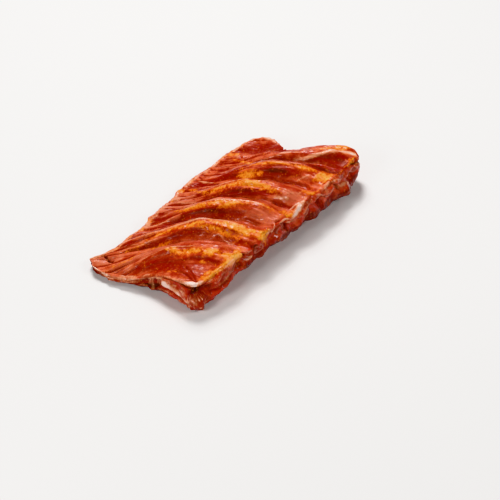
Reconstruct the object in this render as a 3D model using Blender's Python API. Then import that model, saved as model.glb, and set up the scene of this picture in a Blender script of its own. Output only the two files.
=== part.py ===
"""A rack of marinated pork ribs, lying with its bone side up.

The rack lies along X with the sawn backbone side towards -Y and the thin belly side towards +Y. The six rib
bones run across it, leaning towards -X as they go, and each one lifts the meat into a ridge. Their sawn ends
show in the thick wall at -Y. The origin is under the middle of the rack, on the surface that it lies on.

Run it with blender --background --python part.py, or from the text editor. Units are metres.
"""

import math

import bmesh
import bpy
import numpy as np
from mathutils import Matrix

# The shoulder of the rack in plan: the line where its top turns over into the side walls.
# Each list runs from the backbone side to the belly side, or from the near end to the far end.
NEAR_EDGE = ((-0.1105, -0.0545), (-0.1120, -0.0400), (-0.1125, -0.0230), (-0.1145, -0.0070),
             (-0.1205, 0.0075), (-0.1245, 0.0210), (-0.1290, 0.0335), (-0.1320, 0.0475), (-0.1280, 0.0600))
FAR_EDGE = ((0.1180, -0.0530), (0.1170, -0.0400), (0.1100, -0.0265), (0.1010, -0.0090), (0.0940, 0.0040),
            (0.0915, 0.0150), (0.0960, 0.0270), (0.1020, 0.0400), (0.1000, 0.0530), (0.0880, 0.0620))
BACKBONE_EDGE = ((-0.1105, -0.0545), (-0.0880, -0.0560), (-0.0600, -0.0565),
                 (-0.0300, -0.0580), (0.0000, -0.0565), (0.0300, -0.0575),
                 (0.0600, -0.0585), (0.0900, -0.0570), (0.1180, -0.0530))
BELLY_EDGE = ((-0.1280, 0.0600), (-0.1150, 0.0525), (-0.1000, 0.0480), (-0.0860, 0.0495), (-0.0640, 0.0505),
              (-0.0430, 0.0550), (-0.0200, 0.0590), (0.0000, 0.0625), (0.0200, 0.0650), (0.0420, 0.0640),
              (0.0660, 0.0650), (0.0880, 0.0620))
CORNER_U = 0.036
CORNER_V = 0.060

# Heights of the top at the crests, from the belly side to the middle and down to the backbone side.
BELLY_Z = 0.0085
CREST_Z = 0.0385
RISE_START_Y = 0.068
RISE_LENGTH = 0.076
BACKBONE_FALL = 0.0045
BACKBONE_FALL_START_Y = -0.034
BACKBONE_FALL_LENGTH = 0.024
UNEVENNESS = 0.0010
UNEVENNESS_LENGTH = 0.045
UNEVENNESS_SEED = 3

# The top slopes down to these heights at the near cut and the far end, from the backbone to the belly side.
NEAR_EDGE_Z = (0.0265, 0.0255, 0.0225, 0.0170, 0.0110, 0.0075, 0.0070, 0.0075, 0.0080)
FAR_EDGE_Z = (0.0320, 0.0345, 0.0335, 0.0295, 0.0245, 0.0205, 0.0175, 0.0150, 0.0125, 0.0100)
NEAR_SLOPE_LENGTH = 0.028
FAR_SLOPE_LENGTH = 0.024

# The X of each rib's crest where it passes the stations in Y, in order along the rack.
RIB_STATION_Y = (-0.060, -0.030, 0.000, 0.030, 0.060)
RIB_X = ((-0.0625, -0.0735, -0.0930, -0.1290, -0.1650),
         (-0.0290, -0.0375, -0.0560, -0.0770, -0.0970),
         (0.0010, -0.0040, -0.0200, -0.0400, -0.0580),
         (0.0340, 0.0295, 0.0165, -0.0010, -0.0160),
         (0.0700, 0.0645, 0.0520, 0.0370, 0.0250),
         (0.1140, 0.1040, 0.0880, 0.0640, 0.0500))
# From each crest the meat falls as a roll to a crease on the near side, and more gently on the far side.
RIDGE_HEIGHT = 0.0100
CREASE_SHARE = 0.50
ROLL_POWER = 2.3
RIDGE_FADE_BELLY_Y = 0.060
RIDGE_FADE_BELLY = 0.050
RIDGE_FADE_BACKBONE_Y = -0.060
RIDGE_FADE_BACKBONE = 0.022
RIDGE_LEFT_AT_BACKBONE = 0.35

# The side walls: how far each one swells past the shoulder, and how square its section is. The near cut
# swells most under the thin flap, where the sheet is rolled over, and least at the pointed tip.
BACKBONE_SWELL = 0.0045
BELLY_SWELL = 0.0035
END_SWELL = 0.0035
NEAR_SWELL = (0.0045, 0.0050, 0.0055, 0.0060, 0.0070, 0.0085, 0.0070, 0.0030, 0.0012)
WALL_SQUARENESS = 2.5

# Low on the backbone wall hang knobs of muscle, under a crease and the uneven blocks of the cut.
KNOB_X = (-0.083, -0.053, -0.021, 0.015, 0.050, 0.086)
KNOB_WIDTH = (0.0085, 0.0090, 0.0130, 0.0085, 0.0110, 0.0120)
KNOB_HEIGHT = 0.0036
KNOB_LEVEL = 0.36
KNOB_SPAN = 0.17
CORNER_KNOB_HEIGHT = 0.0040
CORNER_KNOB_LEVEL = 0.30
CORNER_KNOB_SPAN = 0.24
CREASE_DEPTH = 0.0020
CREASE_LEVEL = 0.56
CREASE_SPAN = 0.07
BLOCK_HEIGHT = 0.0013
BLOCK_LENGTH = 0.030
BLOCK_SEED = 11

# At each rib's end the wall bulges out in a knuckle.
KNUCKLE_WIDTH = 0.0085
KNUCKLE_HEIGHT = 0.0022
KNUCKLE_LEVEL = 0.78
KNUCKLE_SPAN = 0.20

# A groove under the top sheet runs along the near cut, between these shares of the way across.
GROOVE_DEPTH = 0.0032
GROOVE_LEVEL = 0.70
GROOVE_SPAN = 0.11
GROOVE_START = 0.06
GROOVE_END = 0.60
GROOVE_FADE = 0.10

# Low on the near cut a loose tongue of meat hangs out.
TONGUE_HEIGHT = 0.0055
TONGUE_SHARE = 0.36
TONGUE_SPREAD = 0.055
TONGUE_LEVEL = 0.25
TONGUE_SPAN = 0.22

# The underside is flat, and its rim is lifted off the surface below, most of all along the backbone side.
RIM_LIFT = 0.0022
RIM_WIDTH = 0.05
BACKBONE_LIFT = (0.0015, 0.0030, 0.0065, 0.0095, 0.0120, 0.0115, 0.0090,
                 0.0075, 0.0075, 0.0065, 0.0050, 0.0045, 0.0080)
BACKBONE_LIFT_WIDTH = 0.17

# A rib bone is an oval rod, thinner towards its hidden tip. It starts off to the near side of the crest, and
# its sawn end stands a little proud of the wall.
BONE_WIDTH = 0.0130
BONE_THICKNESS = 0.0090
BONE_TAPER = 0.70
BONE_COVER = 0.0036
BONE_OFFSET = 0.0070
BONE_PROUD = 0.0004
BONE_END_Y = (-0.008, 0.012, 0.020, 0.020, 0.012, -0.012)
BONE_SIDES = 12
BONE_STATIONS = 9
FIT_GAP = 0.0003
CUTTER_EXTRA = 0.020
# The wall's face is looked for among this many places along it and up it, between these levels.
FACE_SAMPLES = (400, 60)
FACE_LEVELS = (0.10, 0.95)

# The lattice that the meat is shaped from: cells along the rack, across it and up its walls.
CELLS = (78, 27, 8)
LATTICE_LEAN = 0.075
LATTICE_LEAN_POWER = 1.5
FLATNESS = 1e-5
ON_RIM = 1e-6
PLAN_STEP = 1e-3

MEAT_COLOUR = (0.45, 0.045, 0.012, 1.0)
BONE_COLOUR = (0.62, 0.36, 0.24, 1.0)
MEAT_ROUGHNESS = 0.32
BONE_ROUGHNESS = 0.5


def clear_scene():
    for item in list(bpy.data.objects):
        bpy.data.objects.remove(item, do_unlink=True)


def new_collection(name):
    collection = bpy.data.collections.new(name)
    bpy.context.scene.collection.children.link(collection)
    return collection


def plain_material(name, colour, roughness):
    material = bpy.data.materials.new(name)
    material.use_nodes = True
    shader = material.node_tree.nodes["Principled BSDF"]
    shader.inputs["Base Color"].default_value = colour
    shader.inputs["Roughness"].default_value = roughness
    shader.inputs["Metallic"].default_value = 0.0
    return material


def smooth(t):
    """An eased step: 0 below 0, 1 above 1, and level at both ends."""
    t = np.clip(t, 0.0, 1.0)
    return t * t * (3.0 - 2.0 * t)


def bell(t):
    """A rounded bump of height 1 at 0 that has faded out by 2 on either side."""
    return np.exp(-t * t)


def along(points, t):
    """The smooth curve through evenly spaced points, for t from 0 to 1 (Catmull-Rom)."""
    values = np.asarray(points, float)
    flat = values.ndim == 1
    if flat:
        values = values[:, None]
    last = len(values) - 1
    place = np.clip(np.asarray(t, float), 0.0, 1.0) * last
    cell = np.minimum(place.astype(int), last - 1)
    share = (place - cell)[..., None]
    padded = np.vstack([2 * values[0] - values[1], values, 2 * values[-1] - values[-2]])
    a, b, c, d = (padded[cell + k] for k in range(4))
    bend = 2 * a - 5 * b + 4 * c - d + share * (3 * (b - c) + d - a)
    curve = b + 0.5 * share * (c - a + share * bend)
    return curve[..., 0] if flat else curve


def lumps(x, y, wavelength, seed, waves=7):
    """An uneven field between about -1 and 1: plane waves of nearly one length in seeded directions."""
    draw = np.random.default_rng(seed)
    total = np.zeros(np.broadcast(x, y).shape)
    for heading, phase, stretch in draw.uniform(0.0, 1.0, (waves, 3)):
        number = 2 * math.pi / (wavelength * (0.75 + 0.6 * stretch))
        angle = 2 * math.pi * heading
        total += np.sin(number * (x * math.cos(angle) + y * math.sin(angle)) + 2 * math.pi * phase)
    return total / math.sqrt(waves)


def crest_x(rib, y):
    """The X of one rib's crest at y."""
    first, last = RIB_STATION_Y[0], RIB_STATION_Y[-1]
    return along(RIB_X[rib], (np.asarray(y) - first) / (last - first))


def rib_place(x, y):
    """How many ribs have been passed on the way along the rack: 0 on the first crest, 1 on the second."""
    crests = [crest_x(rib, y) for rib in range(len(RIB_X))]
    place = np.minimum((x - crests[0]) / (crests[1] - crests[0]), 0)
    for crest, after in zip(crests, crests[1:]):
        place = place + np.clip((x - crest) / (after - crest), 0, 1)
    return place + np.maximum((x - crests[-1]) / (crests[-1] - crests[-2]), 0)


def rounded(u, v):
    """A place in the unit square, drawn in so that its two corners at the backbone are quarter ovals."""
    a = np.clip(1 - np.minimum(u, 1 - u) / CORNER_U, 0, 1)
    b = np.clip(1 - v / CORNER_V, 0, 1)
    inward = np.where(u < 0.5, 1, -1)
    return (u + inward * CORNER_U * a * (1 - np.sqrt(1 - b * b / 2)),
            v + CORNER_V * b * (1 - np.sqrt(1 - a * a / 2)))


def shoulder_plan(u, v):
    """The plan of the top: a Coons patch between its four edges, rounded at the backbone's corners."""
    u, v = rounded(u, v)
    backbone, belly = along(BACKBONE_EDGE, u), along(BELLY_EDGE, u)
    near, far = along(NEAR_EDGE, v), along(FAR_EDGE, v)
    u, v = u[..., None], v[..., None]
    corners = [np.asarray(edge[end]) for edge in (BACKBONE_EDGE, BELLY_EDGE) for end in (0, -1)]
    ruled = (1 - v) * backbone + v * belly + (1 - u) * near + u * far
    return ruled - ((1 - u) * (1 - v) * corners[0] + u * (1 - v) * corners[1]
                    + (1 - u) * v * corners[2] + u * v * corners[3])


def outward(u, v):
    """The unit direction in plan that leaves the rack square to its rim."""
    du = shoulder_plan(np.clip(u + PLAN_STEP, 0, 1), v) - shoulder_plan(np.clip(u - PLAN_STEP, 0, 1), v)
    dv = shoulder_plan(u, np.clip(v + PLAN_STEP, 0, 1)) - shoulder_plan(u, np.clip(v - PLAN_STEP, 0, 1))
    on_end = (np.minimum(u, 1 - u) < ON_RIM) * np.sign(u - 0.5)
    on_side = (np.minimum(v, 1 - v) < ON_RIM) * np.sign(v - 0.5)
    total = (on_end[..., None] * np.stack([dv[..., 1], -dv[..., 0]], -1)
             + on_side[..., None] * np.stack([-du[..., 1], du[..., 0]], -1))
    return total / np.maximum(np.linalg.norm(total, axis=-1, keepdims=True), ON_RIM ** 2)


def ridges(x, y):
    """How far the surface stands above the valleys between the ribs, from 0 to 1."""
    place = rib_place(x, y)
    last = len(RIB_X) - 1
    nearest_before = np.clip(np.floor(place), 0, last)
    nearest_after = np.clip(np.ceil(place), 0, last)
    far_side = smooth(1 - (place - nearest_before) / CREASE_SHARE)
    near_side = 1 - np.clip((nearest_after - place) / (1 - CREASE_SHARE), 0, 1) ** ROLL_POWER
    among_ribs = np.where(place > last, far_side, np.maximum(far_side, near_side))
    return np.where(place < 0, near_side, among_ribs)


def ridge_strength(y):
    """The share of the full ridge height: less towards the belly and at the backbone side."""
    belly = smooth((RIDGE_FADE_BELLY_Y - y) / RIDGE_FADE_BELLY)
    backbone = smooth((y - RIDGE_FADE_BACKBONE_Y) / RIDGE_FADE_BACKBONE)
    return belly * (RIDGE_LEFT_AT_BACKBONE + (1 - RIDGE_LEFT_AT_BACKBONE) * backbone)


def crest_level(y):
    """The height of the crests, from the thin belly side to the middle and down to the backbone side."""
    rise = smooth((RISE_START_Y - y) / RISE_LENGTH)
    fall = smooth((BACKBONE_FALL_START_Y - y) / BACKBONE_FALL_LENGTH)
    return BELLY_Z + (CREST_Z - BELLY_Z) * rise - BACKBONE_FALL * fall


def top_z(x, y, v):
    """The height of the top at a point in plan, where v is its share of the way across."""
    valley = RIDGE_HEIGHT * ridge_strength(y) * (1 - ridges(x, y))
    full = crest_level(y) - valley + UNEVENNESS * lumps(x, y, UNEVENNESS_LENGTH, UNEVENNESS_SEED)
    from_near = np.maximum(x - along(NEAR_EDGE, v)[..., 0], 0)
    near = 1 - np.exp(-from_near / NEAR_SLOPE_LENGTH)
    far = smooth((along(FAR_EDGE, v)[..., 0] - x) / FAR_SLOPE_LENGTH)
    near_z, far_z = along(NEAR_EDGE_Z, v), along(FAR_EDGE_Z, v)
    height = near_z + (full - near_z) * near
    return far_z + (height - far_z) * far


def backbone_relief(x, w):
    """The knobs, crease, blocks and knuckles of the backbone wall, at a place along it and up it."""
    knobs = np.zeros(np.broadcast(x, w).shape)
    for middle, width in zip(KNOB_X, KNOB_WIDTH):
        knobs = np.maximum(knobs, bell((x - middle) / width))
    knobs = KNOB_HEIGHT * knobs * bell((w - KNOB_LEVEL) / KNOB_SPAN)
    crease = CREASE_DEPTH * bell((w - CREASE_LEVEL) / CREASE_SPAN)
    blocks = BLOCK_HEIGHT * lumps(x, BLOCK_LENGTH * w, BLOCK_LENGTH, BLOCK_SEED)
    knuckles = sum(bell((x - crests[0] + BONE_OFFSET) / KNUCKLE_WIDTH) for crests in RIB_X)
    knuckles = KNUCKLE_HEIGHT * knuckles * bell((w - KNUCKLE_LEVEL) / KNUCKLE_SPAN)
    return knobs - crease + blocks + knuckles


def near_relief(v, w):
    """The groove and the tongue of the near cut, at a place across it and up it."""
    shares = smooth((v - GROOVE_START) / GROOVE_FADE) * smooth((GROOVE_END - v) / GROOVE_FADE)
    groove = GROOVE_DEPTH * shares * bell((w - GROOVE_LEVEL) / GROOVE_SPAN)
    tongue = bell((v - TONGUE_SHARE) / TONGUE_SPREAD) * bell((w - TONGUE_LEVEL) / TONGUE_SPAN)
    return TONGUE_HEIGHT * tongue - groove


def wall_swell(u, v, w):
    """How far the wall stands past the shoulder at its fullest."""
    x = shoulder_plan(u, v)[..., 0]
    backbone, belly = smooth(1 - v / CORNER_V), smooth((v - 1 + CORNER_V) / CORNER_V)
    near = smooth(1 - u / CORNER_U)
    swell = END_SWELL + (BACKBONE_SWELL - END_SWELL) * backbone + (BELLY_SWELL - END_SWELL) * belly
    swell = swell + (along(NEAR_SWELL, v) - swell) * near
    corner = CORNER_KNOB_HEIGHT * near * backbone * bell((w - CORNER_KNOB_LEVEL) / CORNER_KNOB_SPAN)
    return swell + backbone * backbone_relief(x, w) + near * near_relief(v, w) + corner


def underside_lift(u, v):
    """How far the underside has risen off the surface below."""
    rim = np.minimum.reduce([u, 1 - u, 1 - v])
    backbone = along(BACKBONE_LIFT, u) * smooth(1 - v / BACKBONE_LIFT_WIDTH)
    return np.maximum(RIM_LIFT * smooth(1 - rim / RIM_WIDTH), backbone)


def rack_point(u, v, w):
    """A point of the meat from its place in the unit lattice: u along, v across, w up."""
    u = u - LATTICE_LEAN * v ** LATTICE_LEAN_POWER * 4 * u * (1 - u)
    plan = shoulder_plan(u, v)
    on_wall = np.minimum.reduce([u, 1 - u, v, 1 - v]) < ON_RIM
    height = top_z(plan[..., 0], plan[..., 1], v)
    lift = underside_lift(u, v)
    turn = math.pi * w
    power = 2.0 / WALL_SQUARENESS
    rise = 0.5 - 0.5 * np.sign(np.cos(turn)) * np.abs(np.cos(turn)) ** power
    swell = np.sin(turn) ** power * wall_swell(u, v, w) * on_wall
    plan = plan + swell[..., None] * outward(u, v)
    z = lift + (height - lift) * rise
    return np.concatenate([plan, z[..., None]], -1)


def lattice(name, cells):
    """A unit box whose faces are cut into even cells, as a mesh."""
    box = bmesh.new()
    bmesh.ops.create_cube(box, size=1.0, matrix=Matrix.Translation((0.5, 0.5, 0.5)))
    for axis, count in enumerate(cells):
        lengthwise = [e for e in box.edges if abs(e.verts[0].co[axis] - e.verts[1].co[axis]) > 0.5]
        bmesh.ops.subdivide_edges(box, edges=lengthwise, cuts=count - 1, use_grid_fill=True)
    mesh = bpy.data.meshes.new(name)
    box.to_mesh(mesh)
    box.free()
    return mesh


def make_meat(collection):
    """The meat, shaped from the lattice. Its flat underside is then one face."""
    mesh = lattice("rib_meat", CELLS)
    place = np.empty(len(mesh.vertices) * 3)
    mesh.vertices.foreach_get("co", place)
    u, v, w = np.clip(place.reshape(-1, 3), 0.0, 1.0).T
    mesh.vertices.foreach_set("co", rack_point(u, v, w).ravel())
    mesh.update()
    shape = bmesh.new()
    shape.from_mesh(mesh)
    flat = [f for f in shape.faces if all(vert.co.z < FLATNESS for vert in f.verts)]
    bmesh.ops.dissolve_faces(shape, faces=flat, use_verts=True)
    bmesh.ops.triangulate(shape, faces=shape.faces)
    bmesh.ops.recalc_face_normals(shape, faces=shape.faces)
    shape.to_mesh(mesh)
    shape.free()
    meat = bpy.data.objects.new("rib_meat", mesh)
    collection.objects.link(meat)
    mesh.materials.append(plain_material("marinated_meat", MEAT_COLOUR, MEAT_ROUGHNESS))
    return meat


def wall_face(x, z):
    """The Y of the backbone wall's face at a place along it and up it."""
    shares, levels = np.linspace(0, 1, FACE_SAMPLES[0]), np.linspace(*FACE_LEVELS, FACE_SAMPLES[1])
    u, w = np.meshgrid(shares, levels, indexing="ij")
    points = rack_point(u, np.zeros_like(u), w)
    nearest = np.argmin(np.hypot(points[..., 0] - x, points[..., 2] - z))
    return points.reshape(-1, 3)[nearest, 1]


def bone_z(x, y):
    """The height of a bone's middle, under the lowest meat over its width."""
    v = (y - BACKBONE_EDGE[0][1]) / (BELLY_EDGE[0][1] - BACKBONE_EDGE[0][1])
    reach = 0.5 * BONE_WIDTH * np.array((-1.0, 0.0, 1.0))
    over = top_z(x[:, None] + reach, y[:, None], np.clip(v, 0, 1)[:, None]).min(axis=1)
    return over - BONE_COVER - 0.5 * BONE_THICKNESS


def bone_rings(rib, grow):
    """Oval rings square to a rib bone's line, from its sawn end to its hidden tip, grown by a margin."""
    start_x = np.array([RIB_X[rib][0] - BONE_OFFSET])
    start_z = bone_z(start_x, np.array([RIB_STATION_Y[0]]))
    start_y = wall_face(start_x, start_z) - BONE_PROUD
    share = np.linspace(0, 1, BONE_STATIONS)
    y = start_y + (BONE_END_Y[rib] - start_y) * share
    x = crest_x(rib, y) - BONE_OFFSET * (1 - share) ** 2
    line = np.stack([x, y, bone_z(x, y)], -1)
    run = np.gradient(line, axis=0)
    run[0] = (0.0, 1.0, 0.0)
    run /= np.linalg.norm(run, axis=1, keepdims=True)
    side = np.cross(run, (0.0, 0.0, 1.0))
    side /= np.linalg.norm(side, axis=1, keepdims=True)
    up = np.cross(side, run)
    size = np.linspace(1.0, BONE_TAPER, BONE_STATIONS)
    half_width = 0.5 * BONE_WIDTH * size + grow
    half_height = 0.5 * BONE_THICKNESS * size + grow
    turn = 2 * math.pi * np.arange(BONE_SIDES) / BONE_SIDES
    rings = (line[:, None] + (half_width[:, None] * np.cos(turn))[..., None] * side[:, None]
             + (half_height[:, None] * np.sin(turn))[..., None] * up[:, None])
    rings[-1] += grow * run[-1]
    return rings


def rod_mesh(name, rings):
    """A closed rod through rings of equal length: quads between them and a face over each end."""
    shape = bmesh.new()
    loops = [[shape.verts.new(point) for point in ring] for ring in rings]
    sides = len(rings[0])
    for ring, after in zip(loops, loops[1:]):
        for k in range(sides):
            shape.faces.new((ring[k], ring[k - 1], after[k - 1], after[k]))
    shape.faces.new(loops[0])
    shape.faces.new(loops[-1])
    bmesh.ops.recalc_face_normals(shape, faces=shape.faces)
    mesh = bpy.data.meshes.new(name)
    shape.to_mesh(mesh)
    shape.free()
    return mesh


def make_bones(collection, cutters, meat):
    """The rib bones, and in the meat a tunnel for each, a fitting gap larger all round."""
    material = plain_material("rib_bone", BONE_COLOUR, BONE_ROUGHNESS)
    for rib in range(len(RIB_X)):
        name = f"rib_bone_{rib + 1}"
        bone = bpy.data.objects.new(name, rod_mesh(name, bone_rings(rib, 0.0)))
        bone.data.materials.append(material)
        collection.objects.link(bone)
        wider = bone_rings(rib, FIT_GAP)
        mouth = wider[:1] - (0.0, CUTTER_EXTRA, 0.0)
        tunnel = rod_mesh(f"tunnel_{rib + 1}", np.concatenate([mouth, wider]))
        cutter = bpy.data.objects.new(tunnel.name, tunnel)
        cutter.hide_render = True
        cutter.display_type = "WIRE"
        cutters.objects.link(cutter)
    tunnels = meat.modifiers.new("tunnels", "BOOLEAN")
    tunnels.operation = "DIFFERENCE"
    tunnels.operand_type = "COLLECTION"
    tunnels.collection = cutters
    tunnels.solver = "EXACT"


def centre(pieces, cutters):
    """Move everything so that the origin is under the middle of the rack's box."""
    corners = np.array([vert.co for piece in pieces for vert in piece.data.vertices])
    middle = 0.5 * (corners.min(axis=0) + corners.max(axis=0))
    shift = Matrix.Translation((-middle[0], -middle[1], 0.0))
    for item in [*pieces, *cutters]:
        item.data.transform(shift)


def main():
    clear_scene()
    rack = new_collection("rack_of_pork_ribs")
    cutters = new_collection("cutters")
    meat = make_meat(rack)
    make_bones(rack, cutters, meat)
    centre(rack.objects, cutters.objects)


main()
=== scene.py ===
# %% [markdown]
# # A rack of marinated pork ribs
# This lesson dresses a slab of pork ribs. It lies with its bone side up, so its top is six curved
# ridges of thin meat over the rib bones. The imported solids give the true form. Here that form gets
# its folds, creases and cut faces, the wet red marinade, and the fat and membrane that show
# through it.
#
# Every length is in metres, apart from the tables of bands, which say what they are in. X runs
# along the rack, Y from the sawn backbone side to the thin belly side, and Z up.

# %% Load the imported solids
import math

import bpy
import numpy as np
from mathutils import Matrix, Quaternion, Vector

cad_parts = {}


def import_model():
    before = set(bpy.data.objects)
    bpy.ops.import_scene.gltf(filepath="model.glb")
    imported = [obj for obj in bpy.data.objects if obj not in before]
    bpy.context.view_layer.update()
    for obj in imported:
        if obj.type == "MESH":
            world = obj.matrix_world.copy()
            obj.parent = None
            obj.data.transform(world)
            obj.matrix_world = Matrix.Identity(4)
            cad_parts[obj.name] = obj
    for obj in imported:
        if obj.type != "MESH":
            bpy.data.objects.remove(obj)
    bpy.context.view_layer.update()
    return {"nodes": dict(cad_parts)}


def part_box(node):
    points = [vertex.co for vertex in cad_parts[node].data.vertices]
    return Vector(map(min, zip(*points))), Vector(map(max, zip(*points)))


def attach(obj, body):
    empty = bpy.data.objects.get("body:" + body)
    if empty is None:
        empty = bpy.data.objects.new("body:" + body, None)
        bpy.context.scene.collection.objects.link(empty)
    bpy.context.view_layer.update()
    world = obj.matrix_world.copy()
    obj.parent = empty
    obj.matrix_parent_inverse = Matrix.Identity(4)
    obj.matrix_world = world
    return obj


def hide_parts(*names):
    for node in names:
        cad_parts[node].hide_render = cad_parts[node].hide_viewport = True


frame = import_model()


def in_mm(values):
    """The lowest and the highest of some lengths, in millimetres."""
    return [round(1000 * float(edge), 2) for edge in (np.min(values), np.max(values))]


def share_over(values, level):
    """The share of the values that are over a level."""
    return round(float((values > level).mean()), 3)


def to_scene(name, data):
    """A new object with its data, put in the scene."""
    thing = bpy.data.objects.new(name, data)
    bpy.context.scene.collection.objects.link(thing)
    return thing


print("solids:", sorted(frame["nodes"]))

# %% [markdown]
# ## The camera
# The photograph looks down on the rack at 41 degrees, from beyond its near cut and the backbone
# side. A long lens from almost 1.1 m away keeps the ribs nearly parallel. The camera leans a
# little, as a hand-held one does. A camera could be turned by hand until it looks right, but a
# place, a point to look at and a roll can be read and checked.

# %% Camera
CAMERA_PLACE = Vector((-0.6287, -0.6069, 0.7252))
CAMERA_LOOKS_AT = Vector((-0.0289, -0.0511, 0.0150))
CAMERA_ROLL = math.radians(-3.01)
CAMERA_LENS = 87.98

camera = to_scene("camera", bpy.data.cameras.new("camera"))
camera.location = CAMERA_PLACE
camera.rotation_mode = "QUATERNION"
aim = (CAMERA_LOOKS_AT - CAMERA_PLACE).to_track_quat("-Z", "Y")
camera.rotation_quaternion = aim @ Quaternion((0.0, 0.0, 1.0), CAMERA_ROLL)
camera.data.lens = CAMERA_LENS
bpy.context.scene.camera = camera
print("distance to the rack:", round((CAMERA_LOOKS_AT - CAMERA_PLACE).length, 3), "m")

# %% [markdown]
# ## Small tools for shapes
# Meat has no straight lines, so its form is built from a few soft curves: an eased step, a rounded
# bump, a smooth line through a few points, and uneven lumps. Lumps could come from a noise texture,
# but a sum of waves in seeded directions is a formula, and numpy works it out for all vertices at
# once. Each kind of lumps has its own seed, so a change to one leaves the others as they are.

# %% Curves
def smooth(t):
    """An eased step: 0 below 0, 1 above 1, and level at both ends."""
    t = np.clip(t, 0.0, 1.0)
    return t * t * (3.0 - 2.0 * t)


def past(t, start, fade):
    """0 up to start, easing to 1 over a fade after it."""
    return smooth((t - start) / fade)


def before(t, end, fade):
    """1 up to a fade before the end, easing to 0 at the end."""
    return smooth((end - t) / fade)


def window(t, start, end, fade):
    """1 between start and end, easing to 0 over a fade outside them."""
    return smooth((t - start) / fade + 1.0) * smooth((end - t) / fade + 1.0)


def peak(t, middle, half):
    """A rounded bump of height 1 at the middle that has faded out by two halves on either side: e
    to the power of minus the square of the distance, counted in halves."""
    t = (t - middle) / half
    return np.exp(-t * t)


def along(points, t):
    """The smooth curve through evenly spaced points, for t from 0 to 1 (Catmull-Rom)."""
    values = np.asarray(points, float)
    flat = values.ndim == 1
    if flat:
        values = values[:, None]
    last = len(values) - 1
    place = np.clip(np.asarray(t, float), 0.0, 1.0) * last
    cell = np.minimum(place.astype(int), last - 1)
    share = (place - cell)[..., None]
    padded = np.vstack([2 * values[0] - values[1], values, 2 * values[-1] - values[-2]])
    a, b, c, d = (padded[cell + k] for k in range(4))
    bend = share * (2 * a - 5 * b + 4 * c - d + share * (3 * (b - c) + d - a))
    curve = b + 0.5 * share * (c - a + bend)
    return curve[..., 0] if flat else curve


print("half way up the eased step:", float(smooth(0.5)))

# %% Lumps
SHORTEST_WAVE = 0.75
WAVE_SPREAD = 0.6
CRINKLE_WAVES = 9


def lumps(x, y, wavelength, seed, waves=7):
    """An uneven field between about -1 and 1: plane waves of nearly one length in seeded
    directions."""
    draw = np.random.default_rng(seed)
    total = np.zeros(np.broadcast(x, y).shape)
    for heading, phase, stretch in draw.uniform(0.0, 1.0, (waves, 3)):
        number = 2 * math.pi / (wavelength * (SHORTEST_WAVE + WAVE_SPREAD * stretch))
        angle = 2 * math.pi * heading
        total += np.sin(number * (x * math.cos(angle) + y * math.sin(angle)) + 2 * math.pi * phase)
    return total / math.sqrt(waves)


def crinkle(x, y, wavelength, seed):
    """Sharp little ridges between rounded hollows, from 0 to 1: one minus the size of the lumps."""
    return 1.0 - np.clip(np.abs(lumps(x, y, wavelength, seed, CRINKLE_WAVES)), 0.0, 1.0)


print("a lump:", round(float(lumps(np.array(0.01), np.array(0.02), 0.03, 1)), 3))

# %% [markdown]
# ## The form of the rack
# The four sides of the rack are smooth lines seen from above, and a Coons patch fills the space
# between them: a rule that blends the two pairs of sides. Over it stand the ridges of the ribs. A
# scan would give more detail, but no names. Here each line keeps its meaning, and the values are
# those of the solids, so the skin fits them.
#
# Two shares give a place on the patch: u along the rack and v across it, each from 0 to 1.

# %% The sides of the rack, seen from above
NEAR_EDGE = ((-0.1105, -0.0545), (-0.1120, -0.0400), (-0.1125, -0.0230), (-0.1145, -0.0070),
             (-0.1205, 0.0075), (-0.1245, 0.0210), (-0.1290, 0.0335), (-0.1320, 0.0475),
             (-0.1280, 0.0600))
FAR_EDGE = ((0.1180, -0.0530), (0.1170, -0.0400), (0.1100, -0.0265), (0.1010, -0.0090),
            (0.0940, 0.0040), (0.0915, 0.0150), (0.0960, 0.0270), (0.1020, 0.0400),
            (0.1000, 0.0530), (0.0880, 0.0620))
BACKBONE_EDGE = ((-0.1105, -0.0545), (-0.0880, -0.0560), (-0.0600, -0.0565), (-0.0300, -0.0580),
                 (0.0000, -0.0565), (0.0300, -0.0575), (0.0600, -0.0585), (0.0900, -0.0570),
                 (0.1180, -0.0530))
BELLY_EDGE = ((-0.1280, 0.0600), (-0.1150, 0.0525), (-0.1000, 0.0480), (-0.0860, 0.0495),
              (-0.0640, 0.0505), (-0.0430, 0.0550), (-0.0200, 0.0590), (0.0000, 0.0625),
              (0.0200, 0.0650), (0.0420, 0.0640), (0.0660, 0.0650), (0.0880, 0.0620))
CORNER_U = 0.036
CORNER_V = 0.060
EDGE = 1e-6
SLOPE_STEP = 1e-3


def rounded(u, v):
    """A place in the unit square, drawn in so that its two corners at the backbone are quarter
    ovals."""
    a = np.clip(1 - np.minimum(u, 1 - u) / CORNER_U, 0, 1)
    b = np.clip(1 - v / CORNER_V, 0, 1)
    inward = np.where(u < 0.5, 1, -1)
    return (u + inward * CORNER_U * a * (1 - np.sqrt(1 - b * b / 2)),
            v + CORNER_V * b * (1 - np.sqrt(1 - a * a / 2)))


def plan(u, v):
    """The Coons patch: the two ruled surfaces between opposite sides, less the flat one through the
    corners."""
    u, v = rounded(u, v)
    backbone, belly = along(BACKBONE_EDGE, u), along(BELLY_EDGE, u)
    near, far = along(NEAR_EDGE, v), along(FAR_EDGE, v)
    u, v = u[..., None], v[..., None]
    corners = [np.asarray(edge[end]) for edge in (BACKBONE_EDGE, BELLY_EDGE) for end in (0, -1)]
    ruled = (1 - v) * backbone + v * belly + (1 - u) * near + u * far
    return ruled - ((1 - u) * (1 - v) * corners[0] + u * (1 - v) * corners[1]
                    + (1 - u) * v * corners[2] + u * v * corners[3])


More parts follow.
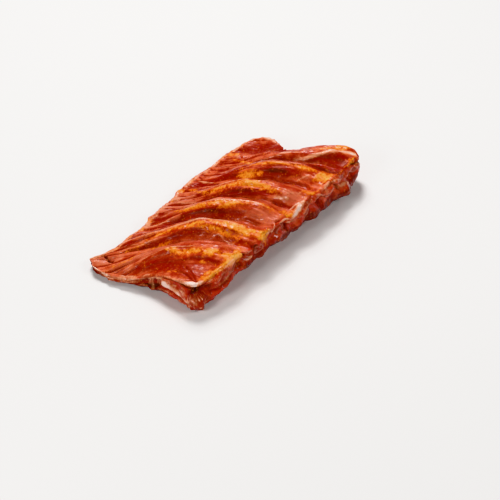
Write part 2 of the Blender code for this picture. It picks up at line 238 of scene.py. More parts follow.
def outward(u, v):
    """The unit direction that leaves the rack square to its rim, from the slope of the plan on
    either side."""
    step = SLOPE_STEP
    du = plan(np.clip(u + step, 0, 1), v) - plan(np.clip(u - step, 0, 1), v)
    dv = plan(u, np.clip(v + step, 0, 1)) - plan(u, np.clip(v - step, 0, 1))
    on_end = (np.minimum(u, 1 - u) < EDGE) * np.sign(u - 0.5)
    on_side = (np.minimum(v, 1 - v) < EDGE) * np.sign(v - 0.5)
    total = (on_end[..., None] * np.stack([dv[..., 1], -dv[..., 0]], -1)
             + on_side[..., None] * np.stack([-du[..., 1], du[..., 0]], -1))
    return total / np.maximum(np.linalg.norm(total, axis=-1, keepdims=True), 1e-9)


print("middle of the plan:", plan(np.array([0.5]), np.array([0.5]))[0].round(4))

# %% [markdown]
# ## Ribs and heights
# The ribs are curved bones that lie side by side. The useful number on the rack is the rib place:
# 0 on the first crest, 1 on the second, and 0.5 in the crease between them. Every ridge, fold and
# patch of fat is then a simple formula, and it leans and curves with the ribs by itself.

# %% Where the ribs run
RIB_STATION_Y = (-0.060, -0.030, 0.000, 0.030, 0.060)
RIB_X = ((-0.0625, -0.0735, -0.0930, -0.1290, -0.1650),
         (-0.0290, -0.0375, -0.0560, -0.0770, -0.0970),
         (0.0010, -0.0040, -0.0200, -0.0400, -0.0580),
         (0.0340, 0.0295, 0.0165, -0.0010, -0.0160),
         (0.0700, 0.0645, 0.0520, 0.0370, 0.0250),
         (0.1140, 0.1040, 0.0880, 0.0640, 0.0500))
RIBS = len(RIB_X)


def crest_x(rib, y):
    """The X of one rib's crest at y: the smooth line through its stations."""
    first, last = RIB_STATION_Y[0], RIB_STATION_Y[-1]
    return along(RIB_X[rib], (np.asarray(y) - first) / (last - first))


def rib_place(x, y):
    """How many ribs have been passed on the way along the rack, counted in shares between two
    crests."""
    crests = [crest_x(rib, y) for rib in range(RIBS)]
    place = np.minimum((x - crests[0]) / (crests[1] - crests[0]), 0)
    for crest, after in zip(crests, crests[1:]):
        place = place + np.clip((x - crest) / (after - crest), 0, 1)
    return place + np.maximum((x - crests[-1]) / (crests[-1] - crests[-2]), 0)


def x_at(place, y):
    """The way back: the X of a rib place at y, on the line through the two crests nearest to it."""
    nearest = int(np.clip(math.floor(place), 0, RIBS - 2))
    start, end = crest_x(nearest, y), crest_x(nearest + 1, y)
    return start + (place - nearest) * (end - start)


print("the third crest half way across is at X =", round(float(crest_x(2, 0.0)), 4))

# %% Heights of the top
# A pair gives where a change starts, or ends, and how long its fade is. Lumps are given by their
# size and seed.
BELLY_Z = 0.0085
CREST_Z = 0.0385
RISE = (0.068, 0.076)
BACKBONE_FALL = 0.0045
BACKBONE_FALL_END = (-0.034, 0.024)
UNEVENNESS = 0.0010
UNEVENNESS_LUMPS = (0.045, 3)
NEAR_EDGE_Z = (0.0265, 0.0255, 0.0225, 0.0170, 0.0110, 0.0075, 0.0070, 0.0075, 0.0080)
FAR_EDGE_Z = (0.0320, 0.0345, 0.0335, 0.0295, 0.0245, 0.0205, 0.0175, 0.0150, 0.0125, 0.0100)
NEAR_SLOPE_LENGTH = 0.028
FAR_SLOPE_LENGTH = 0.024
RIDGE_HEIGHT = 0.0100
CREASE_SHARE = 0.50
ROLL_POWER = 2.3
RIDGE_END = (0.060, 0.050)
RIDGE_START = (-0.060, 0.022)
RIDGE_LEFT_AT_BACKBONE = 0.35


def ridges(x, y):
    """A roll of meat over each rib, from 0 in the crease to 1 on the crest: a power curve on its
    near side and an eased step on its far side."""
    place = rib_place(x, y)
    passed = np.clip(np.floor(place), 0, RIBS - 1)
    coming = np.clip(np.ceil(place), 0, RIBS - 1)
    far_side = smooth(1 - (place - passed) / CREASE_SHARE)
    near_side = 1 - np.clip((coming - place) / (1 - CREASE_SHARE), 0, 1) ** ROLL_POWER
    between_two = np.maximum(far_side, near_side)
    return np.where(place < 0, near_side, np.where(place > RIBS - 1, far_side, between_two))


def top_z(x, y, v):
    """The height of the top: the crests' level, less the valleys, sloping down to the two ends."""
    from_backbone = RIDGE_LEFT_AT_BACKBONE + (1 - RIDGE_LEFT_AT_BACKBONE) * past(y, *RIDGE_START)
    strength = before(y, *RIDGE_END) * from_backbone
    crests = BELLY_Z + (CREST_Z - BELLY_Z) * before(y, *RISE)
    crests = crests - BACKBONE_FALL * before(y, *BACKBONE_FALL_END)
    uneven = UNEVENNESS * lumps(x, y, *UNEVENNESS_LUMPS)
    full = crests - RIDGE_HEIGHT * strength * (1 - ridges(x, y)) + uneven
    from_near = np.maximum(x - along(NEAR_EDGE, v)[..., 0], 0)
    near = 1 - np.exp(-from_near / NEAR_SLOPE_LENGTH)
    far = before(x, along(FAR_EDGE, v)[..., 0], FAR_SLOPE_LENGTH)
    near_z, far_z = along(NEAR_EDGE_Z, v), along(FAR_EDGE_Z, v)
    return far_z + (near_z + (full - near_z) * near - far_z) * far


third_crest = top_z(crest_x(2, 0.0), np.array(0.0), np.array(0.5))
print("height of the third crest:", round(float(third_crest), 4))

# %% [markdown]
# ## Walls and underside
# The backbone side was sawn through, so it is a thick wall with knobs of muscle low on it. The near
# cut has a groove under its top sheet. The rim of the underside is lifted a little, because soft
# meat rests on its middle. A wall is a rounded section that runs round the rim, and the knobs and
# grooves are bumps added to how far it swells.
#
# A third share, w, goes up the section from 0 on the underside to 1 on the top.

# %% Walls
# Three values in a row are a height or depth, its level on the section and its half span.
BACKBONE_SWELL = 0.0045
BELLY_SWELL = 0.0035
END_SWELL = 0.0035
NEAR_SWELL = (0.0045, 0.0050, 0.0055, 0.0060, 0.0070, 0.0085, 0.0070, 0.0030, 0.0012)
WALL_SQUARENESS = 2.5
KNOB_X = (-0.083, -0.053, -0.021, 0.015, 0.050, 0.086)
KNOB_WIDTH = (0.0085, 0.0090, 0.0130, 0.0085, 0.0110, 0.0120)
KNOB = (0.0036, 0.36, 0.17)
CORNER_KNOB = (0.0040, 0.30, 0.24)
CREASE = (0.0020, 0.56, 0.07)
BLOCK_HEIGHT = 0.0013
BLOCK_LENGTH = 0.030
BLOCK_SEED = 11
BONE_OFFSET = 0.0070
KNUCKLE_WIDTH = 0.0085
KNUCKLE = (0.0022, 0.78, 0.20)
GROOVE = (0.0032, 0.70, 0.11)
GROOVE_START = (0.06, 0.10)
GROOVE_END = (0.60, 0.10)
TONGUE = (0.0055, 0.25, 0.22)
TONGUE_PLACE = (0.36, 0.055)


def bulge(share, w, height, level, half):
    """A share of a rounded bulge of the wall: its height times a bump at its level."""
    return height * share * peak(w, level, half)


def wall_swell(u, v, w):
    """How far the wall stands past the shoulder: a share for each side of the rack, with its knobs
    and grooves."""
    x = plan(u, v)[..., 0]
    backbone = smooth(1 - v / CORNER_V)
    belly = smooth((v - 1 + CORNER_V) / CORNER_V)
    near = smooth(1 - u / CORNER_U)
    knobs = np.maximum.reduce([peak(x, middle, width) for middle, width in zip(KNOB_X, KNOB_WIDTH)])
    knuckles = sum(peak(x, crests[0] - BONE_OFFSET, KNUCKLE_WIDTH) for crests in RIB_X)
    relief = (bulge(knobs, w, *KNOB) + bulge(knuckles, w, *KNUCKLE) - bulge(1.0, w, *CREASE)
              + BLOCK_HEIGHT * lumps(x, BLOCK_LENGTH * w, BLOCK_LENGTH, BLOCK_SEED))
    groove = bulge(past(v, *GROOVE_START) * before(v, *GROOVE_END), w, *GROOVE)
    tongue = bulge(peak(v, *TONGUE_PLACE), w, *TONGUE)
    corner = bulge(near * backbone, w, *CORNER_KNOB)
    swell = END_SWELL + (BACKBONE_SWELL - END_SWELL) * backbone + (BELLY_SWELL - END_SWELL) * belly
    swell = swell + (along(NEAR_SWELL, v) - swell) * near
    return swell + backbone * relief + near * (tongue - groove) + corner


middle_wall = wall_swell(np.array([0.5]), np.array([0.0]), np.array([0.5]))
print("half way up, the backbone wall stands out", round(float(middle_wall[0]) * 1000, 1), "mm")

# %% Underside
RIM_LIFT = 0.0022
RIM_WIDTH = 0.05
BACKBONE_LIFT = (0.0015, 0.0030, 0.0065, 0.0095, 0.0120, 0.0115, 0.0090, 0.0075, 0.0075, 0.0065,
                 0.0050, 0.0045, 0.0080)
BACKBONE_LIFT_WIDTH = 0.17


def underside_lift(u, v):
    """How far the underside has risen: an eased step near the rim, and a taller one along the
    backbone side."""
    rim = np.minimum.reduce([u, 1 - u, 1 - v])
    backbone = along(BACKBONE_LIFT, u) * smooth(1 - v / BACKBONE_LIFT_WIDTH)
    return np.maximum(RIM_LIFT * smooth(1 - rim / RIM_WIDTH), backbone)


under_the_knob = underside_lift(np.array(0.33), np.array(0.0))
print("a third of the way along, the rim is lifted", round(float(under_the_knob) * 1000, 1), "mm")

# %% One point of the rack from three shares
LEAN = 0.075
LEAN_POWER = 1.5


def rack_point(u, v, w):
    """A point of the rack: u along, v across and w up its section, each from 0 to 1. The plan gives
    X and Y, and a squared half turn carries the section from the underside, out over the swell, to
    the top."""
    u = u - LEAN * v ** LEAN_POWER * 4 * u * (1 - u)
    flat = plan(u, v)
    on_wall = np.minimum.reduce([u, 1 - u, v, 1 - v]) < EDGE
    height, lift = top_z(flat[..., 0], flat[..., 1], v), underside_lift(u, v)
    turn, power = math.pi * w, 2.0 / WALL_SQUARENESS
    rise = 0.5 - 0.5 * np.sign(np.cos(turn)) * np.abs(np.cos(turn)) ** power
    swell = np.clip(np.sin(turn), 0, 1) ** power * wall_swell(u, v, w) * on_wall
    flat = flat + swell[..., None] * outward(u, v)
    z = lift + (height - lift) * rise
    return np.concatenate([flat, z[..., None]], -1)


wall_point = rack_point(np.array([0.5]), np.array([0.0]), np.array([0.5]))[0]
print("a point of the backbone wall:", wall_point.round(4))

# %% [markdown]
# ## The skin as one closed surface
# The meat gets one closed skin. Its top is a fine grid of shares along and across. From the rim of
# that grid, rings go down the walls and in under the rack, and one flat face closes the middle of
# the underside. Three separate patches would be easier to write, but their seams would open when
# the relief moves them.

# %% The grid of the skin
CELLS_ALONG = 320
CELLS_ACROSS = 160
WALL_RINGS = 26
UNDERSIDE_RINGS = (0.015, 0.04, 0.08, 0.13, 0.19, 0.26, 0.35)
CAD_CENTRE = np.array((0.00712, -0.00083, 0.0))


def rim_shares():
    """The rim's shares in order round the rack: backbone side, far end, belly side, near cut."""
    forth_u = np.arange(CELLS_ALONG) / CELLS_ALONG
    forth_v = np.arange(CELLS_ACROSS) / CELLS_ACROSS
    u = np.concatenate([forth_u, np.ones(CELLS_ACROSS), 1 - forth_u, np.zeros(CELLS_ACROSS)])
    v = np.concatenate([np.zeros(CELLS_ALONG), forth_v, np.ones(CELLS_ALONG), 1 - forth_v])
    return u, v


def rim_index():
    """The vertices of the top grid that the rim runs through, in the same order."""
    row = CELLS_ACROSS + 1
    along_u, across_v = np.arange(CELLS_ALONG), np.arange(CELLS_ACROSS)
    return np.concatenate([along_u * row, CELLS_ALONG * row + across_v,
                           (CELLS_ALONG - along_u) * row + CELLS_ACROSS, CELLS_ACROSS - across_v])


top_u, top_v = np.meshgrid(np.linspace(0, 1, CELLS_ALONG + 1), np.linspace(0, 1, CELLS_ACROSS + 1),
                           indexing="ij")
rim_u, rim_v = rim_shares()
rim = rim_index()
levels = 1 - np.arange(1, WALL_RINGS + 1) / WALL_RINGS
inset = np.array(UNDERSIDE_RINGS)[:, None]
u = np.concatenate([top_u.ravel(), np.tile(rim_u, WALL_RINGS), (rim_u + (0.5 - rim_u) * inset).ravel()])
v = np.concatenate([top_v.ravel(), np.tile(rim_v, WALL_RINGS), (rim_v + (0.5 - rim_v) * inset).ravel()])
w = np.concatenate([np.ones(top_u.size), np.repeat(levels, rim.size), np.zeros(inset.size * rim.size)])
base = rack_point(u, v, w)
print(f"{len(base)} vertices, {rim.size} of them round the rim")

# %% The faces of the skin
row = CELLS_ACROSS + 1
first_corner = (np.arange(CELLS_ALONG)[:, None] * row + np.arange(CELLS_ACROSS)).ravel()
top_faces = np.stack([first_corner, first_corner + row, first_corner + row + 1, first_corner + 1], -1)
rings = [rim] + [top_u.size + k * rim.size + np.arange(rim.size) for k in range(WALL_RINGS + inset.size)]
ring_faces = [np.stack([upper, lower, np.roll(lower, -1), np.roll(upper, -1)], -1)
              for upper, lower in zip(rings, rings[1:])]
faces = np.concatenate([top_faces] + ring_faces).tolist() + [rings[-1][::-1].tolist()]

skin_mesh = bpy.data.meshes.new("meat_skin")
skin_mesh.from_pydata(base, [], faces)
skin_mesh.polygons.foreach_set("use_smooth", [True] * len(faces))

# %% Coordinates that the folds and patches follow
TOP_START = (0.86, 0.12)
RIB_SPACING = 0.030

x, y, z = base.T
long_x = x + CAD_CENTRE[0]
place = rib_place(x, y)
top = past(w, *TOP_START)
backbone = smooth(1 - v / CORNER_V) * (1 - top)
belly_side = smooth((v - 1 + CORNER_V) / CORNER_V) * (1 - top)
near_cut = smooth(1 - u / CORNER_U) * (1 - top)
far_end = smooth(1 - (1 - u) / CORNER_U) * (1 - top)
between = (place > 0) * (place < RIBS - 1)
before_crest = np.where(place < RIBS - 1, np.ceil(place) - place, 0.0)
behind_crest = np.where(place > 0, place - np.floor(place), 0.0)


def streaks(across, lengthwise, seed, waves=9):
    """Lumps drawn out along the ribs: one wavelength across them and a longer one along them."""
    return lumps(place * RIB_SPACING / across, y / lengthwise, 1.0, seed, waves)


print("rib places run from", round(float(place.min()), 2), "to", round(float(place.max()), 2))

# %% [markdown]
# ## Where the fat, the film, the deep red and the painted light and shade lie
# On the real rack the thin film over each bone is pale at the crest, where a painted highlight also runs.
# Amber fat lies just off it, on the near side, with yellow patches. Below that the red is deepest: the
# marinade's own colour, with painted shade on the slope that faces away from the light. It fades to a
# pink film towards the next rib. An image could be painted. Bands given by rib place and Y follow the
# ribs instead, and each one can be moved alone.

# %% Bands of fat
BAND_FADE = 0.15
THINNEST_BAND = 0.01


def band_cover(run, spot, bands, per=1000):
    """How strongly bands cover each vertex. A band runs between two values of the first coordinate,
    given in thousandths or in another part of one. Its middle, half width and strength there come
    from smooth curves through hundredths, and it falls off to both sides as a rounded bump."""
    cover = np.zeros(len(base))
    for ends, *rows in bands:
        start, end = np.array(ends) / per
        share = (run - start) / (end - start)
        middle, half, strength = (along(np.array(row) / 100, share) for row in rows)
        band = strength * peak(spot, middle, np.maximum(half, THINNEST_BAND))
        cover = np.maximum(cover, band * window(share, 0.0, 1.0, BAND_FADE))
    return cover


FAT_BANDS = (
    # Y of the two ends in millimetres, then rib places, half widths and strengths at even steps
    # between them, in hundredths; first those on the near sides of the ridges
    ((-48, 0), (-14, -13, -15, -13, -17, -8, 0), (7, 12, 9, 11, 10, 9, 5),
     (40, 115, 60, 95, 65, 90, 35)),
    ((-58, 24), (100, 87, 91, 92, 93, 87, 86, 87, 88), (13, 13, 14, 13, 10, 9, 7, 6, 4),
     (95, 100, 120, 95, 60, 80, 75, 50, 40)),
    ((-42, 34), (202, 198, 191, 190, 193, 191, 193, 202), (6, 6, 11, 13, 10, 10, 10, 8),
     (55, 50, 60, 95, 75, 90, 80, 50)),
    ((-30, 26), (278, 287, 290, 289, 282, 280), (9, 12, 15, 13, 10, 7), (60, 80, 105, 75, 70, 45)),
    ((0, 20), (360, 363, 368), (6, 10, 8), (50, 95, 60)),
    ((-42, 22), (402, 392, 395, 392, 390, 392, 388), (6, 8, 5, 5, 5, 5, 5),
     (50, 85, 50, 70, 80, 60, 40)),
    ((-41, -12), (514, 510, 500, 490), (14, 14, 12, 9), (85, 80, 60, 40)),
    # along the rim at the sawn wall
    ((-57, -50), (-85, -85), (25, 30), (85, 50)),
    ((-58, -50), (-22, -10), (16, 12), (85, 70)),
    ((-57, -49), (10, 45), (20, 10), (85, 25)),
    ((-58, -50), (235, 225), (14, 12), (80, 60)),
    ((-58, -50), (325, 320), (14, 10), (85, 70)),
    ((-56, -46), (395, 393), (20, 22), (125, 100)),
    ((-57, -52), (485, 480), (15, 10), (65, 50)),
    # thin strands on the belly side and in the valleys, and two flecks
    ((8, 36), (53, 52, 43, 22, 18, 20), (4, 4, 5, 5, 4, 4), (50, 60, 65, 60, 50, 40)),
    ((10, 36), (90, 82, 72, 62, 56), (5, 5, 5, 4, 4), (60, 70, 60, 50, 40)),
    ((-45, -12), (67, 68, 71, 76), (8, 8, 8, 6), (50, 60, 60, 50)),
    ((12, 50), (270, 278, 297, 325), (5, 5, 5, 6), (40, 55, 60, 50)),
    ((28, 50), (460, 485, 510), (4, 5, 6), (70, 60, 40)),
    ((54, 64), (555, 560), (15, 12), (80, 70)),
    ((-26, -18), (-80, -78), (5, 4), (45, 45)),
    ((-41, -37), (-43, -43), (3, 3), (70, 70)),
)
FAT_SPREAD = 0.70
FAT_LEVEL = 0.98
FAT_UNEVEN = 0.16
FAT_LUMPS = (0.0065, 36)

fat = band_cover(y, place, FAT_BANDS) ** FAT_SPREAD
fat = fat * (FAT_LEVEL + FAT_UNEVEN * lumps(x, y, *FAT_LUMPS)) * top
print("share of the skin with fat:", share_over(fat, 0.4))

# %% Bands of deep red marinade and painted shade
DEEP_RED_AND_SHADE_BANDS = (
    # the same columns, from the near cut to the far end
    ((-45, 12), (-75, -72, -62, -50, -35, -20), (25, 25, 25, 25, 20, 12), (55, 70, 85, 85, 80, 65)),
    ((-50, -15), (-37, -35, -36, -42), (6, 6, 6, 6), (90, 95, 90, 60)),
    ((-50, 32), (60, 58, 60, 65, 64, 60, 56), (6, 5, 6, 9, 8, 6, 4), (90, 70, 50, 100, 100, 80, 90)),
    ((30, 52), (75, 70, 64), (5, 6, 5), (70, 90, 90)),
    ((-45, -24), (154, 156), (3.5, 4), (70, 70)),
    ((14, 46), (153, 154, 160, 170), (4, 4, 4, 5), (60, 60, 50, 60)),
    ((-26, 20), (162, 166, 169, 170), (9, 14, 15, 13), (80, 125, 135, 110)),
    ((-52, -42), (253, 252), (5, 5), (90, 80)),
    ((-36, 16), (272, 266, 264, 262, 260), (5, 9, 12, 12, 9), (70, 105, 130, 125, 100)),
    ((16, 48), (262, 270, 285, 305), (4, 4, 4, 4), (60, 60, 70, 60)),
    ((34, 58), (342, 344, 348), (12, 13, 12), (105, 110, 90)),
    ((12, 32), (356, 360, 366), (4, 5, 6), (70, 70, 70)),
    ((-32, 6), (372, 370, 368, 366), (8, 14, 15, 11), (80, 135, 140, 90)),
    ((-10, 6), (418, 422), (12, 10), (60, 60)),
    ((26, 52), (422, 428, 440), (16, 18, 16), (75, 90, 90)),
    ((-58, -16), (435, 430, 428), (20, 20, 18), (120, 135, 110)),
    ((-20, 22), (455, 454, 456, 462), (5, 5, 5, 4), (80, 60, 70, 70)),
    ((-58, -22), (466, 470, 464, 456), (20, 18, 12, 7), (115, 125, 115, 95)),
    ((34, 60), (485, 490, 495), (10, 10, 10), (50, 60, 70)),
    ((12, 60), (530, 575, 595, 605, 610), (35, 45, 45, 45, 40), (70, 100, 110, 100, 80)),
)
# The deep red is partly the marinade's own colour and partly painted shade, on the near slopes that face
# away from the light and in the valleys.
dark_red_and_shade = band_cover(y, place, DEEP_RED_AND_SHADE_BANDS) * top
print("share with deep marinade:", share_over(dark_red_and_shade, 0.5))

# %% Bands of pale sinew and painted highlight
PALE_BANDS = (
    # the same columns, along the crests, where the pale line is partly painted highlight, and in the last
    # valley
    ((-20, 20), (4, 3, -5, -2), (3, 4, 2, 2), (50, 80, 70, 50)),
    ((-36, 26), (101, 108, 103, 97, 93), (3.5, 4.5, 4, 4, 3.5), (80, 105, 100, 90, 60)),
    ((-36, 24), (198, 202, 204, 205, 208), (3.5, 4, 4.5, 4, 4), (80, 100, 105, 95, 60)),
    ((-26, 30), (303, 305, 302, 304), (3, 3.5, 3, 3), (50, 80, 80, 60)),
    ((-30, 6), (400, 397, 395, 393), (3, 3, 3, 3), (50, 75, 70, 50)),
    ((-10, 30), (474, 470, 463, 460, 460), (3, 4, 3, 2.5, 3), (60, 90, 60, 50, 60)),
    ((-56, -10), (508, 503, 488, 472, 460, 454), (7, 8, 9, 8, 6, 4), (120, 130, 115, 105, 95, 60)),
    # on the belly side, and a painted highlight round the hump's rim
    ((12, 34), (70, 66, 60), (2, 2, 2), (50, 60, 50)),
    ((22, 46), (88, 90, 95), (5, 5, 4), (60, 70, 60)),
    ((30, 48), (172, 160, 152), (4, 4, 4), (60, 80, 70)),
    ((32, 56), (256, 260, 266), (3, 3, 3), (50, 60, 50)),
    ((50, 60), (275, 295), (10, 14), (55, 75)),
    ((40, 58), (355, 362, 372), (3, 4, 4), (50, 80, 90)),
    ((30, 62), (462, 464, 470), (3, 3, 4), (50, 60, 50)),
    ((48, 56), (520, 550), (8, 8), (50, 60)),
    ((28, 64), (630, 662, 684, 698, 680), (8, 9, 10, 10, 10), (100, 130, 140, 130, 100)),
    # near the sawn wall
    ((-44, -29), (50, 52, 61), (3, 3, 3), (60, 65, 65)),
    ((-28, -25), (61, 50), (3, 3), (60, 50)),
    ((-46, -32), (270, 264, 260), (5, 5, 4), (75, 85, 50)),
    ((-57, -53), (275, 250), (5, 5), (140, 120)),
    ((-51, -43), (302, 280), (5, 5), (55, 50)),
    ((-41, -34), (380, 360), (5, 5), (75, 65)),
    ((-50, -43), (410, 390), (3, 2), (50, 50)),
    # in the near corner
    ((-53, -30), (-126, -130, -110), (10, 7, 5), (190, 140, 90)),
    ((-57.5, -52.5), (-122, -118), (10, 8), (150, 120)),
)
sinew_and_highlight = band_cover(y, place, PALE_BANDS) * top
print("share with pale sinew:", share_over(sinew_and_highlight, 0.4))

# %% Bands of pink film
FILM_BANDS = (
    # the same columns, from the near cut to the far end
    ((20, 34), (12, 20), (12, 10), (70, 70)),
    ((2, 28), (26, 28, 26), (22, 22, 16), (90, 100, 80)),
    ((36, 62), (42, 45, 52), (12, 12, 10), (80, 100, 100)),
    ((-52, -36), (70, 70), (6, 5), (80, 70)),
    ((22, 50), (162, 162, 160), (10, 12, 12), (60, 90, 90)),
    ((-60, -24), (176, 172, 160), (22, 20, 12), (110, 105, 60)),
    ((40, 60), (180, 190), (40, 40), (80, 100)),
    ((22, 62), (205, 215, 228), (20, 25, 28), (110, 120, 110)),
    ((30, 74), (255, 265, 280), (22, 40, 50), (90, 110, 110)),
    ((-60, -30), (284, 278, 268), (26, 22, 14), (110, 105, 60)),
    ((-24, -4), (505, 505), (15, 15), (80, 70)),
)
VALLEY = (0.24, 0.42, 0.10)
VALLEY_Y = (-0.050, 0.012, 0.014)
VALLEY_FILM = 0.5
FILM_UNDER_DEEP = 0.8

valley = window(behind_crest, *VALLEY) * window(y, *VALLEY_Y) * between
film = np.maximum(band_cover(y, place, FILM_BANDS), VALLEY_FILM * valley)
film = film * (1 - FILM_UNDER_DEEP * np.clip(dark_red_and_shade, 0, 1)) * top
print("share under the pink film:", share_over(film, 0.5))

# %% [markdown]
# ## Relief of the top
# The form of the solids is smooth. A real rack has pleats of thin meat that fan out over the belly
# side, fine wrinkles in the film, and raised sinews. A bump map would shade them, but only moved
# vertices give them an outline and shadows. Each kind of relief is a formula in the rib place and
# in Y.
#
# A pattern is written as its sizes and then its seed, such as FINE_PLEATS: a width and a seed.

# %% Pleats of the belly side
BELLY_START = (-0.002, 0.030)
PLEAT_LENGTH = 0.075
PLEAT_SHARPNESS = 0.8
PLEAT_ROUNDNESS = 0.7
PLEAT_LEVEL = 0.6
BROAD_PLEATS = (0.0115, 24)
BROAD_PLEAT_DEPTH = 0.0020
FINE_PLEATS = (0.0055, 25)
FINE_PLEAT_DEPTH = 0.0010
DEPTH_CHANGES = (0.020, 0.050, 33)
LEAST_DEPTH = 0.45
DEPTH_CHANGE = 0.8


def pleats(width, seed):
    """Pleats that run with the ribs, from 0 in a sharp groove to 1 on a round fold. A groove lies
    wherever streaks pass through zero, so grooves wander, branch and meet."""
    size = np.abs(streaks(width, PLEAT_LENGTH, seed))
    return np.clip(size / PLEAT_SHARPNESS, 0, 1) ** PLEAT_ROUNDNESS


on_belly = past(y, *BELLY_START) * top
broad, fine = pleats(*BROAD_PLEATS), pleats(*FINE_PLEATS)
depth_varies = LEAST_DEPTH + (1 - LEAST_DEPTH) * smooth(0.5 + DEPTH_CHANGE * streaks(*DEPTH_CHANGES))
folds = BROAD_PLEAT_DEPTH * (broad - PLEAT_LEVEL) + FINE_PLEAT_DEPTH * (fine - PLEAT_LEVEL)
pleat = on_belly * depth_varies * folds
print("pleats, in mm:", in_mm(pleat))

# %% Creases, wrinkles, sinews and fat
CREASE_CUT = 0.0008
CREASE_HALF_WIDTH = 0.030
CREASE_Y = (-0.040, 0.020, 0.014)
CREASE_WANDER = 0.020
CREASE_BENDS = (0.018, 23)
FILM_FOLDS = (0.0050, 26)
FILM_FOLD_DEPTH = 0.00055
BROAD_STREAKS = (0.008, 0.040, 30)
BROAD_STREAK_HEIGHT = 0.00045
FINE_STREAKS = (0.0038, 0.020, 31)
FINE_STREAK_HEIGHT = 0.00022
SWELLS = (0.016, 32)
SWELL_HEIGHT = 0.00040
PALE_LINE_HEIGHT = 0.0005
FAT_HEIGHT = 0.0004
CURDS = (0.006, 35)
CURD_SHARE = 0.7

crease_place = before_crest - 0.5 + CREASE_WANDER * lumps(x, y, *CREASE_BENDS)
crease = peak(crease_place, 0, CREASE_HALF_WIDTH) * window(y, *CREASE_Y) * top * between
film_folds = pleats(*FILM_FOLDS)
film_wrinkle = FILM_FOLD_DEPTH * film * (film_folds - PLEAT_LEVEL)
drawn_out = BROAD_STREAK_HEIGHT * streaks(*BROAD_STREAKS) + FINE_STREAK_HEIGHT * streaks(*FINE_STREAKS)
uneven = drawn_out + SWELL_HEIGHT * lumps(x, y, *SWELLS)
fat_height = FAT_HEIGHT * np.clip(fat, 0, 1) * (1 + CURD_SHARE * lumps(x, y, *CURDS))
raised = PALE_LINE_HEIGHT * np.clip(sinew_and_highlight, 0, 1) + fat_height
top_relief = pleat - CREASE_CUT * crease + film_wrinkle + raised + uneven * top
print("height of the fat, in mm:", in_mm(fat_height))

# %% [markdown]
# ## Cut faces
# The saw left a rounded knuckle with a glossy film at the end of each rib on the backbone wall, amber fat
# along the rim, and clefts between. The film's pale patches are partly painted highlight, and the clefts
# are painted dark as shade. The knife left a pale lip and a strip of white fat, both with a painted
# glint, and gaps on the near cut, which are painted dark as shade together with the shade under its
# rolled lip. They are bands too, in each wall's own coordinates, and what stands out or sinks follows
# from what it is: fat and film are proud, and red clefts are sunk.
#
# Level is w on a wall, and it goes on past 1 over the rim, so that a band may lap onto the top.

# %% Bands of the backbone wall
WALL_FAT_BANDS = (
    # X of the two ends in millimetres, then levels, half levels and strengths at even steps
    # between them, in hundredths, from the near corner to the far end
    ((-96, -73), (99, 98, 98), (8, 10, 10), (60, 110, 90)),
    ((-76, -57), (95, 90, 88), (10, 17, 18), (90, 110, 110)),
    ((-62, -50), (88, 84, 78), (18, 24, 26), (110, 125, 90)),
    ((-28, -14), (90, 78, 76, 86), (14, 24, 24, 14), (80, 120, 110, 90)),
    ((10, 118), (100, 100), (2.5, 2.5), (50, 50)),
    ((12, 20), (93, 88), (12, 12), (110, 100)),
    ((44, 51), (100, 94), (7, 8), (90, 100)),
    ((103, 114), (94, 94), (9, 9), (80, 90)),
)
WALL_FILM_AND_HIGHLIGHT_BANDS = (
    # the same columns; the wall's pale film, with painted highlights on its bulges
    ((-98, -92), (80, 72), (5, 5), (60, 60)),
    ((-94, -54), (70, 72), (20, 24), (34, 42)),
    ((-92, -87), (85, 86), (5, 5), (80, 80)),
    ((-92, -60), (52, 50), (1.5, 1.5), (80, 80)),
    ((-80, -72), (30, 34), (10, 10), (60, 60)),
    ((-72, -61), (86, 85), (2.5, 2.5), (120, 120)),
    ((-67, -57), (80, 74, 70), (5, 8, 6), (80, 95, 70)),
    ((-50, -39), (52, 50), (2, 1.5), (90, 120)),
    ((-44, -38), (82, 66), (14, 14), (55, 60)),
    ((-18, -11), (74, 76), (5, 5), (80, 70)),
    ((-10.5, -4.5), (68, 80, 92), (7, 6, 5), (100, 130, 90)),
    ((1, 14), (82, 83, 73), (3, 4, 4), (120, 140, 90)),
    ((8, 22), (69, 64, 60), (4, 6, 5), (90, 80, 60)),
    ((16, 36), (74, 82, 88, 92), (6, 11, 12, 6), (90, 150, 150, 100)),
    ((22, 104), (72, 76, 76, 70), (20, 22, 22, 18), (30, 36, 36, 30)),
    ((30, 44), (66, 72), (5, 5), (60, 60)),
    ((51, 62), (86, 82, 62), (6, 7, 5), (80, 90, 60)),
    ((64, 73), (90, 97), (6, 5), (100, 120)),
    ((64, 74), (66, 58), (6, 5), (60, 70)),
    ((76, 88), (90, 82, 70), (4, 4, 4), (70, 80, 60)),
    ((84, 100), (55, 54, 50), (2, 3, 2), (90, 110, 80)),
    ((111, 117), (72, 60), (5, 5), (70, 70)),
)
WALL_CLEFT_SHADE_BANDS = (
    # the same columns; clefts and the low wall, painted dark red as shade
    ((-104, -89), (71, 68, 62), (16, 15, 12), (160, 150, 100)),
    ((-88, -54), (47, 49), (3.5, 3.5), (90, 100)),
    ((-50.5, -46.5), (90, 64), (16, 12), (100, 100)),
    ((-44, -8), (38, 40, 36), (12, 14, 14), (85, 95, 85)),
    ((-37, -31), (88, 58), (16, 14), (130, 150)),
    ((-2, 3), (96, 92), (5, 5), (80, 80)),
    ((2, 10), (72, 54), (9, 9), (150, 160)),
    ((49, 57), (66, 54), (4, 6), (100, 120)),
    ((76, 84), (70, 56), (7, 7), (120, 120)),
    ((110, 126), (84, 66), (9, 9), (150, 140)),
)
LEVEL_PAST_RIM = 4.0
BACKBONE_BAND_DEPTH = 0.10

